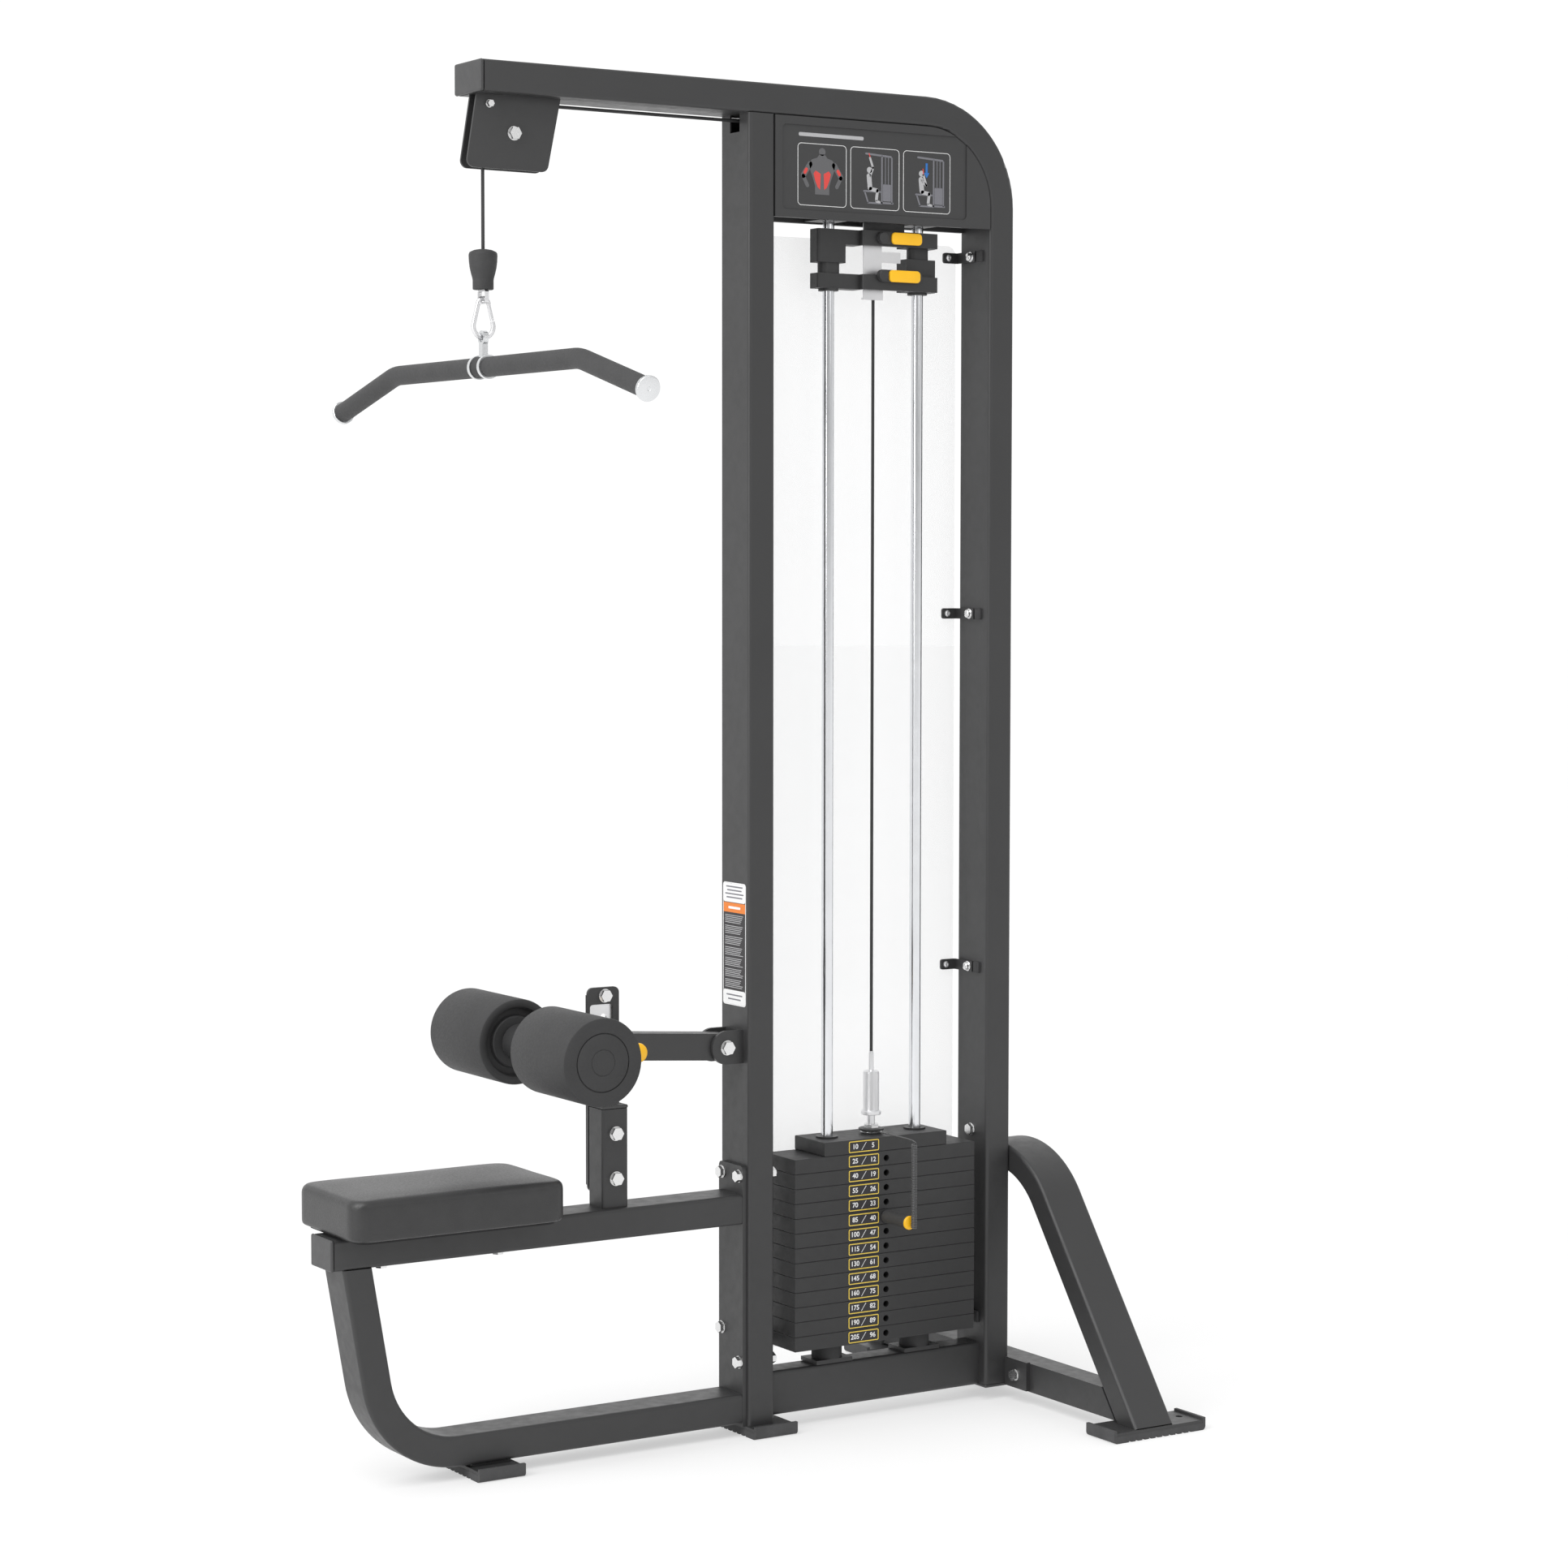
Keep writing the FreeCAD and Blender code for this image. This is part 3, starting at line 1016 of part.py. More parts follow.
def build():
    front_upright()
    main_tube()
    base_beam()
    tube_end_caps()
    seat_back_plate()
    seat_beam()
    seat_leg_tube()
    rear_arch()
    rear_cross_tube()
    feet()
    guide_rods()
    rod_end_holders()
    stack_bumpers()
    weight_plates()
    top_weight_plate()
    selector()
    pin_lanyard()
    addon_weights()
    addon_bracket()
    sign_panel("sign_panel_front", -45)
    sign_panel("sign_panel_rear", 35)
    rear_shroud()
    shroud_clips()
    pulleys()
    pulley_brackets()
    pulley_axles()
    cables()
    cable_end()
    lat_bar()
    seat()
    roller_post()
    roller_rail()
    roller_clevis()
    roller_arm()
    foam_rollers()
    frame_bolts()


def write_nodes():
    """Check every object and every node, then write one STEP file per node."""
    doc.recompute()
    failed = [item.Label for item in doc.Objects if {"Invalid", "Error"} & set(item.State)]
    bad = [item.Label for item in nodes if item.Shape.isNull() or not item.Shape.isValid()
           or not item.Shape.Solids]
    if failed or bad:
        raise RuntimeError(f"failed objects {failed}, bad shapes {bad}")
    os.makedirs("parts", exist_ok=True)
    for item in nodes:
        item.Shape.exportStep(f"parts/{item.Label}.step")
    print(len(nodes), "nodes written")


build()
write_nodes()
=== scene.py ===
"""Looks of a lat pulldown machine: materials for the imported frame, and the pieces that need
more than CAD gives them, such as the upholstery, the coiled lanyard and the printed panels.

Metres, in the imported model's frame: X from the seat to the weight stack, Z up, origin on the
floor under the front upright.
"""
import math

import bmesh
import bpy
from mathutils import Euler, Matrix, Vector


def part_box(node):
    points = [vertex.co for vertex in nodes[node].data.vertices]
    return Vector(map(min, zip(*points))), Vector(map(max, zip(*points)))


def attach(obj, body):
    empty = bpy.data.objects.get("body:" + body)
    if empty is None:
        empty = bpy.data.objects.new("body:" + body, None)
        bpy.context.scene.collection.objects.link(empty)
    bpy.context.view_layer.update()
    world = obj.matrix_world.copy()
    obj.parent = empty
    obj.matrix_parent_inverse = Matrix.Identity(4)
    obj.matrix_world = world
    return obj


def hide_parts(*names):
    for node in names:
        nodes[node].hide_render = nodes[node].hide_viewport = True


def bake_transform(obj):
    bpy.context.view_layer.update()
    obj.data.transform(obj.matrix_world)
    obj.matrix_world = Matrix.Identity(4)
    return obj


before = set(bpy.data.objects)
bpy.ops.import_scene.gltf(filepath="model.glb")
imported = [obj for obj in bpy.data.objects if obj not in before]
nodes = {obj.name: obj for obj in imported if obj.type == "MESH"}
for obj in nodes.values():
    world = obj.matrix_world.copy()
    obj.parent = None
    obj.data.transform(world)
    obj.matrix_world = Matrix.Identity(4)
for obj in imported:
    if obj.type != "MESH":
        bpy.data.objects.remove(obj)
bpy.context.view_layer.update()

MM = 0.001
scene = bpy.context.scene

# Places and sizes in millimetres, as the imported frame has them.
BAR_X = -490
STACK_X = 248.5
SELECTED_HOLE_Z = 346.1
ROLLER_AXLE = (-406.03, 681.01)
ARM_PIN = (-267.02, 670.68)
BAR_MIDDLE_Z = 1765
BAR_END = (513.5, 1712)
BAR_END_SLOPE = (200.5, -53)
CABLE_TOP_Z = 2132.5
CABLE_RADIUS = 2.75
UPRIGHT_INSIDE_X = (25, 459)
CLIP_HEIGHTS = (144.5, 757, 1369.5, 1982)
DIGIT_SIZE = 11.6
DIGIT_HEIGHT = 0.15
DIGIT_STROKE_GAIN = 0.22


# ------------------------------------------------------------------ shader helpers
class Shader:
    """A material's node tree, with short calls for the nodes used here."""

    def __init__(self, name):
        self.material = bpy.data.materials.new(name)
        self.material.use_nodes = True
        self.tree = self.material.node_tree
        self.surface = self.tree.nodes["Principled BSDF"]
        self.place = self.add("ShaderNodeTexCoord").outputs["Object"]

    def add(self, kind, **values):
        item = self.tree.nodes.new(kind)
        for key, value in values.items():
            setattr(item, key, value)
        return item

    def link(self, start, end):
        self.tree.links.new(start, end)

    def set(self, **values):
        for key, value in values.items():
            self.surface.inputs[key.replace("_", " ")].default_value = value
        return self

    def noise(self, scale, detail=3.0, rough=0.5, stretch=None):
        item = self.add("ShaderNodeTexNoise")
        item.inputs["Scale"].default_value = scale
        item.inputs["Detail"].default_value = detail
        item.inputs["Roughness"].default_value = rough
        self.link(self.stretched(stretch), item.inputs["Vector"])
        return item.outputs["Fac"]

    def cells(self, scale, feature="F1"):
        item = self.add("ShaderNodeTexVoronoi", feature=feature)
        item.inputs["Scale"].default_value = scale
        self.link(self.place, item.inputs["Vector"])
        return item.outputs["Distance"]

    def stretched(self, stretch):
        if stretch is None:
            return self.place
        item = self.add("ShaderNodeMapping")
        item.inputs["Scale"].default_value = stretch
        self.link(self.place, item.inputs["Vector"])
        return item.outputs["Vector"]

    def between(self, fac, low, high):
        """Maps the middle of a factor, 0.3 to 0.7, onto low..high."""
        item = self.add("ShaderNodeMapRange")
        for key, value in (("From Min", 0.3), ("From Max", 0.7), ("To Min", low), ("To Max", high)):
            item.inputs[key].default_value = value
        self.link(fac, item.inputs["Value"])
        return item.outputs["Result"]

    def mix_colours(self, fac, first, second):
        item = self.add("ShaderNodeMix", data_type="RGBA")
        # Sockets 6 and 7 are this node's two colours, and output 2 is its colour result.
        item.inputs[6].default_value = (*first, 1)
        item.inputs[7].default_value = (*second, 1)
        self.link(fac, item.inputs[0])
        return item.outputs[2]

    def bump(self, height, depth, strength=1.0, under=None):
        item = self.add("ShaderNodeBump")
        item.inputs["Strength"].default_value = strength
        item.inputs["Distance"].default_value = depth
        self.link(height, item.inputs["Height"])
        if under is not None:
            self.link(under, item.inputs["Normal"])
        return item.outputs["Normal"]

    def finish(self, colour=None, rough=None, normal=None):
        for value, socket in ((colour, "Base Color"), (rough, "Roughness"), (normal, "Normal")):
            if value is not None:
                self.link(value, self.surface.inputs[socket])
        return self.material


def shade(colour, factor):
    return tuple(channel * factor for channel in colour)


def grey(level):
    return (level, level, level * 1.02)


# ------------------------------------------------------------------ materials
def powder_coat(name, colour, roughness=0.42, peel=0.00012):
    """Sprayed and baked paint: a fine orange peel over slow changes of shade."""
    s = Shader(name)
    slow = s.between(s.noise(5, 4), 0, 1)
    fine = s.noise(900, 2, 0.6)
    peel_normal = s.bump(fine, peel, 0.5, s.bump(s.noise(160, 2), peel * 2, 0.25))
    return s.finish(s.mix_colours(slow, shade(colour, 0.93), shade(colour, 1.07)),
                    s.between(s.noise(60, 3), roughness - 0.05, roughness + 0.06), peel_normal)


def moulded_plastic(name, colour, roughness=0.5, grain=0.00008):
    s = Shader(name)
    slow = s.between(s.noise(12, 3), 0, 1)
    normal = s.bump(s.cells(1400), grain, 0.4, s.bump(s.noise(220), grain, 0.4))
    return s.finish(s.mix_colours(slow, shade(colour, 0.94), shade(colour, 1.06)),
                    s.between(s.noise(90), roughness - 0.05, roughness + 0.05), normal)


def rubber(name, colour, roughness=0.72):
    s = Shader(name)
    dusty = s.between(s.noise(25, 5, 0.6), 0, 1)
    normal = s.bump(s.noise(1500, 3, 0.7), 0.0002, 0.6)
    s.set(Specular_IOR_Level=0.3)
    return s.finish(s.mix_colours(dusty, shade(colour, 0.88), shade(colour, 1.12)),
                    s.between(s.noise(120), roughness - 0.05, roughness + 0.08), normal)


def foam_skin(name, colour):
    """Closed-cell foam: small shallow cells under a smooth skin."""
    s = Shader(name)
    cells = s.cells(700, "SMOOTH_F1")
    normal = s.bump(cells, 0.0003, 0.35, s.bump(s.noise(60, 3), 0.0008, 0.3))
    s.set(Specular_IOR_Level=0.35)
    return s.finish(s.mix_colours(s.between(s.noise(18, 4), 0, 1), shade(colour, 0.93), shade(colour, 1.07)),
                    s.between(s.noise(260, 3), 0.55, 0.68), normal)


def vinyl(name, colour):
    """Upholstery vinyl: pebbled grain broken by fine creases."""
    s = Shader(name)
    pebbles = s.cells(520)
    creases = s.cells(190, "DISTANCE_TO_EDGE")
    slow = s.bump(s.noise(30, 3), 0.001, 0.3)
    normal = s.bump(pebbles, 0.00035, 0.55, s.bump(creases, 0.0005, 0.25, slow))
    s.set(Specular_IOR_Level=0.5, Coat_Weight=0.12, Coat_Roughness=0.32)
    return s.finish(s.mix_colours(s.between(s.noise(40, 4), 0, 1), shade(colour, 0.9), shade(colour, 1.1)),
                    s.between(s.noise(350, 2), 0.36, 0.48), normal)


def metal(name, colour, roughness, brush=None):
    """Bare or plated metal; brush stretches its fine lines along one axis."""
    s = Shader(name)
    lines = s.noise(900, 3, 0.7, brush)
    s.set(Metallic=1.0)
    return s.finish(s.mix_colours(s.between(s.noise(30, 3), 0, 1), shade(colour, 0.95), colour),
                    s.between(lines, roughness * 0.8, roughness * 1.25), s.bump(lines, 0.00003, 0.3))


def clear_sheet(name):
    """Thin polycarbonate, faintly frosted."""
    s = Shader(name)
    s.set(Alpha=0.16, Specular_IOR_Level=0.3)
    cloud = s.between(s.noise(4, 2), 0, 1)
    return s.finish(s.mix_colours(cloud, (0.93, 0.94, 0.95), (0.99, 0.99, 1.0)),
                    s.between(s.noise(35, 3), 0.28, 0.4), s.bump(s.noise(25, 2), 0.0004, 0.2))


def ink(name, colour):
    """Printed ink, slightly uneven."""
    s = Shader(name)
    return s.finish(s.mix_colours(s.between(s.noise(300, 2), 0, 1), shade(colour, 0.94), colour),
                    s.between(s.noise(500, 2), 0.4, 0.5), s.bump(s.noise(1200, 2), 0.00003, 0.3))


CHARCOAL = grey(0.034)
PAINT = powder_coat("charcoal_powder_coat", CHARCOAL)
PANEL_PAINT = powder_coat("panel_powder_coat", grey(0.036), 0.5)
PLATE_PAINT = powder_coat("plate_paint", grey(0.025), 0.5, 0.00016)
CAP_PLASTIC = moulded_plastic("cap_plastic", grey(0.05), 0.48)
DARK_PLASTIC = moulded_plastic("dark_plastic", grey(0.028), 0.42)
ADDON_PLASTIC = moulded_plastic("addon_plastic", grey(0.027), 0.5)
YELLOW = moulded_plastic("yellow_plastic", (0.93, 0.50, 0.006), 0.34, 0.00005)
SHOE_RUBBER = rubber("shoe_rubber", grey(0.07))
BLACK_RUBBER = rubber("black_rubber", grey(0.045))
STOPPER_RUBBER = rubber("stopper_rubber", grey(0.045), 0.6)
GRIP_FOAM = foam_skin("grip_foam", grey(0.046))
ROLLER_FOAM = foam_skin("roller_foam", grey(0.038))
SEAT_VINYL = vinyl("seat_vinyl", grey(0.024))
BOARD = rubber("seat_board_stain", grey(0.03))
CHROME = metal("chrome", (0.76, 0.77, 0.78), 0.24)
ROD_CHROME = metal("rod_chrome", (0.8, 0.81, 0.83), 0.16, (1, 1, 0.03))
ZINC = metal("zinc_plate", (0.78, 0.78, 0.78), 0.24)
SILVER = metal("brushed_silver", (0.8, 0.8, 0.81), 0.36, (0.05, 1, 1))
LANYARD_SLEEVE = moulded_plastic("lanyard_sleeve", grey(0.085), 0.3)
HOOK_STEEL = metal("hook_steel", (0.78, 0.78, 0.79), 0.34)
CABLE = rubber("coated_cable", grey(0.035), 0.5)
CLEAR = clear_sheet("clear_sheet")
WHITE_INK = ink("white_ink", (0.82, 0.82, 0.82))
GREY_INK = ink("grey_ink", (0.18, 0.18, 0.2))
DIM_INK = ink("dim_ink", (0.115, 0.115, 0.12))
PALE_INK = ink("pale_ink", (0.45, 0.45, 0.46))
RED_INK = ink("red_ink", (0.7, 0.06, 0.05))
BLUE_INK = ink("blue_ink", (0.02, 0.16, 0.5))
BLACK_INK = ink("black_ink", (0.02, 0.018, 0.02))
YELLOW_INK = ink("yellow_ink", (0.83, 0.6, 0.08))
ORANGE_INK = ink("orange_ink", (0.75, 0.2, 0.02))

NODE_LOOKS = {
    PAINT: ["front_upright", "main_tube", "base_beam", "seat_back_plate", "seat_beam", "seat_leg_tube",
            "rear_arch", "rear_cross_tube", "rod_end_holders", "shroud_clips", "pulley_brackets",
            "roller_post", "roller_rail", "roller_clevis", "roller_arm", "foot_plates"],
    PANEL_PAINT: ["sign_panel_front", "sign_panel_rear"],
    PLATE_PAINT: ["resting_weight_plates", "top_weight_plate", "weight_plate_01", "weight_plate_02",
                  "weight_plate_03", "weight_plate_04", "weight_plate_05"],
    ADDON_PLASTIC: ["upper_addon_weight", "lower_addon_weight"],
    CAP_PLASTIC: ["tube_end_caps"],
    DARK_PLASTIC: ["front_pulley", "rear_pulley", "rod_bushings"],
    BLACK_RUBBER: ["stack_bumpers"],
    SHOE_RUBBER: ["foot_shoes"],
    GRIP_FOAM: ["bar_grips"],
    BOARD: ["seat_board"],
    CHROME: ["lat_bar"],
    HOOK_STEEL: ["cable_shackle", "carabiner", "carabiner_gate"],
    ROD_CHROME: ["guide_rods"],
    ZINC: ["frame_bolts", "pulley_axles", "selector_rod"],
    SILVER: ["rail_hole_strip", "addon_bracket"],
    CABLE: ["cable_over_pulleys"],
    CLEAR: ["rear_shroud"],
}
EDGE_SOFTENING = {"frame_bolts": 0.7, "pulley_axles": 0.5, "addon_bracket": 0.5, "rail_hole_strip": 0.4,
                  "seat_back_plate": 0.8, "pulley_brackets": 0.8, "foot_plates": 0.6,
                  "upper_addon_weight": 0.8, "lower_addon_weight": 0.8, "roller_clevis": 0.8,
                  "sign_panel_front": 0.7, "sign_panel_rear": 0.7, "roller_rail": 0.7}


def dress_frame():
    """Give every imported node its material, and the sharp ones a small rounded edge."""
    for material, names in NODE_LOOKS.items():
        for name in names:
            mesh = nodes[name].data
            mesh.materials.clear()
            mesh.materials.append(material)
    for name, width in EDGE_SOFTENING.items():
        bevel = nodes[name].modifiers.new("soft_edges", "BEVEL")
        bevel.width = width * MM
        bevel.segments = 2
        bevel.limit_method = "ANGLE"
        bevel.angle_limit = math.radians(40)


# ------------------------------------------------------------------ mesh helpers
def finish_mesh(name, mesh_builder, material, body, smooth_angle=35.0, replaces=()):
    """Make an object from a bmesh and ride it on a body."""
    bmesh.ops.recalc_face_normals(mesh_builder, faces=mesh_builder.faces)
    mesh = bpy.data.meshes.new(name)
    mesh_builder.to_mesh(mesh)
    mesh_builder.free()
    item = bpy.data.objects.new(name, mesh)
    scene.collection.objects.link(item)
    mesh.materials.append(material)
    mesh.shade_smooth()
    mesh.set_sharp_from_angle(angle=math.radians(smooth_angle))
    if body:
        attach(item, body)
    if replaces:
        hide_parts(*replaces)
    return item


def turned(profile, place, segments=64):
    """Solid of revolution. profile is (radius, height) pairs from one end of the axis to the
    other, in millimetres, and place maps the lathe's own Z axis into the frame."""
    built = bmesh.new()
    rings = []
    for radius, height in profile:
        if radius < 1e-6:
            rings.append([built.verts.new((0, 0, height * MM))])
            continue
        rings.append([built.verts.new((radius * MM * math.cos(turn), radius * MM * math.sin(turn),
                                       height * MM))
                      for turn in (2 * math.pi * step / segments for step in range(segments))])
    for low, high in zip(rings, rings[1:]):
        for step in range(segments):
            after = (step + 1) % segments
            corners = [low[step % len(low)], low[after % len(low)], high[after % len(high)],
                       high[step % len(high)]]
            unique = list(dict.fromkeys(corners))
            if len(unique) > 2:
                built.faces.new(unique)
    built.transform(place)
    return built


def at(x, y, z, turn=(0, 0, 0)):
    """Placement from millimetres and degrees."""
    angles = Euler([math.radians(angle) for angle in turn])
    return Matrix.Translation(Vector((x, y, z)) * MM) @ angles.to_matrix().to_4x4()


ALONG_NEAR = (90, 0, 0)
ALONG_FAR = (-90, 0, 0)


def slab(outline, low, high, place, bevel=0.0, segments=2):
    """Flat piece with the given outline (millimetres, in its own XY) between two heights."""
    built = bmesh.new()
    face = built.faces.new([built.verts.new((x * MM, y * MM, low * MM)) for x, y in outline])
    raised = bmesh.ops.extrude_face_region(built, geom=[face])
    moved = [item for item in raised["geom"] if isinstance(item, bmesh.types.BMVert)]
    bmesh.ops.translate(built, verts=moved, vec=(0, 0, (high - low) * MM))
    if bevel:
        rim = [edge for edge in built.edges
               if all(abs(vert.co.z - high * MM) < 1e-7 for vert in edge.verts)]
        bmesh.ops.bevel(built, geom=rim, offset=bevel * MM, segments=segments, affect="EDGES", profile=0.5)
    built.transform(place)
    return built


def rounded_outline(left, low, right, high, radius, steps=6):
    points = []
    corners = [((right - radius, low + radius), -90), ((right - radius, high - radius), 0),
               ((left + radius, high - radius), 90), ((left + radius, low + radius), 180)]
    for (cx, cy), start in corners:
        for step in range(steps + 1):
            turn = math.radians(start + 90 * step / steps)
            points.append((cx + radius * math.cos(turn), cy + radius * math.sin(turn)))
    return points


def frame_outline(left, low, right, high, radius, border, thick, place):
    """A rounded rectangular ring with a flat section."""
    built = bmesh.new()
    outer = rounded_outline(left, low, right, high, radius)
    inner = rounded_outline(left + border, low + border, right - border, high - border, radius - border)
    loops = []
    for outline, height in ((outer, 0), (outer, thick), (inner, thick), (inner, 0)):
        loops.append([built.verts.new((x * MM, y * MM, height * MM)) for x, y in outline])
    count = len(outer)
    for first, second in zip(loops, loops[1:] + loops[:1]):
        for step in range(count):
            after = (step + 1) % count
            built.faces.new((first[step], first[after], second[after], second[step]))
    built.transform(place)
    return built


def tube_mesh(points, radius, segments):
    """Round closed tube through a list of points in metres, without twist along it."""
    built = bmesh.new()
    directions = []
    for number, point in enumerate(points):
        before = points[max(number - 1, 0)]
        after = points[min(number + 1, len(points) - 1)]
        directions.append((after - before).normalized())
    side = directions[0].orthogonal().normalized()
    rings = []
    for point, direction in zip(points, directions):
        side = (side - direction * side.dot(direction)).normalized()
        other = direction.cross(side)
        rings.append([built.verts.new(point + (side * math.cos(turn) + other * math.sin(turn)) * radius)
                      for turn in (2 * math.pi * step / segments for step in range(segments))])
    for low, high in zip(rings, rings[1:]):
        for step in range(segments):
            after = (step + 1) % segments
            built.faces.new((low[step], low[after], high[after], high[step]))
    built.faces.new(rings[0][::-1])
    built.faces.new(rings[-1])
    return built


def merged(parts):
    total = bmesh.new()
    for part in parts:
        mesh = bpy.data.meshes.new("part")
        part.to_mesh(mesh)
        part.free()
        total.from_mesh(mesh)
        bpy.data.meshes.remove(mesh)
    return total


def numerals(text, place):
    """Thin raised digits, centred on the placement."""
    curve = bpy.data.curves.new("numerals", "FONT")
    curve.body = text
    curve.size = DIGIT_SIZE * MM
    curve.extrude = DIGIT_HEIGHT * MM / 2
    curve.offset = DIGIT_STROKE_GAIN * MM
    curve.align_x = "CENTER"
    curve.align_y = "CENTER"
    holder = bpy.data.objects.new("numerals", curve)
    mesh = bpy.data.meshes.new_from_object(holder)
    built = bmesh.new()
    built.from_mesh(mesh)
    bmesh.ops.remove_doubles(built, verts=built.verts, dist=1e-7)
    built.transform(place)
    bpy.data.objects.remove(holder)
    return built


def capsule(start, end, radius, steps=6):
    """Outline of a rounded bar between two points."""
    (x0, y0), (x1, y1) = start, end
    lean = math.atan2(y1 - y0, x1 - x0)
    points = []
    for (cx, cy), first in (((x1, y1), lean - math.pi / 2), ((x0, y0), lean + math.pi / 2)):
        for step in range(steps + 1):
            turn = first + math.pi * step / steps
            points.append((cx + radius * math.cos(turn), cy + radius * math.sin(turn)))
    return points


def disc(x, y, radius, steps=20):
    turns = [2 * math.pi * step / steps for step in range(steps)]
    return [(x + radius * math.cos(turn), y + radius * math.sin(turn)) for turn in turns]


def mirrored(outline):
    return [(-x, y) for x, y in outline[::-1]]


# ------------------------------------------------------------------ cables and lanyard
def spaced(start, end, spacing):
    """Heights from start to end, close together."""
    count = round(abs(end - start) / spacing)
    return [start + (end - start) * step / count for step in range(count + 1)]


def cables():
    """The two straight drops."""
    drops = (("bar_cable_run", "bar_cable", BAR_X, 1948, "bar_hook"),
             ("stack_cable_run", "stack_cable", STACK_X, 622, "lifted_stack"))
    for name, node, x, low, follower in drops:
        path = [Vector((x, 0, z)) * MM for z in spaced(CABLE_TOP_Z, low, 12)]
        run = finish_mesh(name, tube_mesh(path, CABLE_RADIUS * MM, 16), CABLE, None,
                          replaces=[node])
        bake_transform(run)


def lanyard():
    """Coiled wire from the cable fitting's collar to the selector pin's handle."""
    top, bottom = Vector((252, -126, 481)) * MM, Vector((252, -126, 338)) * MM
    turns, steps_per_turn = 53, 20
    coil_radius, wire_radius = 4.05 * MM, 1.2 * MM
    lead = [(249, -20, 487.6), (250, -60, 487.8), (251, -105, 487.4), (252, -120, 486.4), (254.5, -125, 484)]
    tail = [(254.5, -124.5, 337.5), (252, -121.5, 340), (250, -119.8, 343)]
    route = [Vector(place) * MM for place in lead]
    steps = turns * steps_per_turn
    for step in range(steps + 1):
        turn = 2 * math.pi * step / steps_per_turn
        centre = top.lerp(bottom, step / steps)
        route.append(centre + Vector((math.cos(turn), math.sin(turn), 0)) * coil_radius)
    route += [Vector(place) * MM for place in tail]
    wire = finish_mesh("coiled_lanyard", tube_mesh(route, wire_radius, 8), LANYARD_SLEEVE, None,
                       60, ["pin_lanyard"])
    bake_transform(wire)


# ------------------------------------------------------------------ turned pieces
def cable_fittings():
    """Rubber stopper over the bar, and the cup, collar, body and nut on top of the stack."""
    over_stack = at(STACK_X, 0, 0)
    stopper = [(0, 1886.5), (15.2, 1886.5), (16.2, 1887), (16.6, 1888.5), (16.6, 1901), (17.1, 1904.5),
               (19.2, 1912), (21.2, 1921), (22.4, 1931), (22.8, 1940), (22.4, 1943.2), (21, 1945.6),
               (14.5, 1948.6), (8, 1949.8), (0, 1950)]
    finish_mesh("rubber_stopper", turned(stopper, at(BAR_X, 0, 0)), STOPPER_RUBBER, "bar_hook",
                50, ["cable_stopper"])
    cup = [(0, 483.1), (14.5, 483.1), (17.5, 484), (18.2, 486), (17, 488.4), (0, 488.4)]
    finish_mesh("fitting_cup", turned(cup, over_stack), CHROME, "lifted_stack")
    collar = [(6, 488.3), (20.5, 488.3), (21.8, 489), (21.8, 491.4), (20.8, 492.2), (13, 492.6), (6, 492.6)]
    finish_mesh("fitting_collar", turned(collar, over_stack), DARK_PLASTIC, "lifted_stack")
    body = [(0, 490), (6.8, 490), (6.8, 514.5), (9, 515.6), (16.6, 515.6), (17.4, 516.3), (17.4, 520.8),
            (16.6, 521.6), (14.4, 522.4), (13.9, 523.5), (13.9, 586), (13.2, 589.2), (11, 590.6),
            (5.4, 590.6), (4.4, 592), (4.2, 620), (3.6, 624.2), (0, 624.5)]
    finish_mesh("fitting_body", turned(body, over_stack), SILVER, "lifted_stack",
                35, ["cable_end_fitting"])
    lock_nut = slab(disc(0, 0, 13.5, 6), 492.6, 499, over_stack, 0.8)
    finish_mesh("fitting_nut", lock_nut, ZINC, "lifted_stack")


def selector_pin():
    place = at(STACK_X, 0, SELECTED_HOLE_Z, ALONG_NEAR)
    handle = [(0, 48), (10.4, 48), (11.4, 49), (11.6, 58), (10.6, 70), (10.2, 84), (10.6, 98), (11.5, 108),
              (11.9, 113), (11.9, 115), (11.2, 116), (0, 116)]
    finish_mesh("pin_handle", turned(handle, place), CAP_PLASTIC, "selector_pin",
                40, ["selector_pin"])
    cap = [(0, 115.5), (11.2, 115.6), (11.7, 116.4), (11.6, 118), (10.6, 119.4), (8.5, 119.9), (0, 120)]
    finish_mesh("pin_handle_cap", turned(cap, place), YELLOW, "selector_pin")
    shank = [(0, -14), (3, -13.8), (4.7, -11.5), (4.7, 48.5), (0, 48.5)]
    finish_mesh("pin_shank", turned(shank, place), CHROME, "selector_pin")


def arm_pull_pin():
    """Spring plunger on the roller arm; its barrel stays on the arm."""
    place = at(ARM_PIN[0], 0, ARM_PIN[1], ALONG_NEAR)
    knob = [(0, 76), (11, 76), (14.4, 77.4), (15.8, 80.5), (15.9, 98), (15, 101.4), (12, 103.7), (0, 104)]
    finish_mesh("pull_pin_knob", turned(knob, place), YELLOW, "pull_pin", 50,
                ["arm_pull_pin"])
    shank = [(0, -29.4), (4.4, -29.4), (5.8, -27), (5.8, 69), (7.5, 69.6), (7.5, 76.5), (0, 76.5)]
    finish_mesh("pull_pin_shank", turned(shank, place), ZINC, "pull_pin")
    barrel = [(6.4, 20.4), (10.8, 20.4), (10.8, 27), (9.4, 27.8), (9.4, 44), (8.6, 45), (6.4, 45)]
    finish_mesh("pull_pin_barrel", turned(barrel, place), ZINC, "roller_arm")


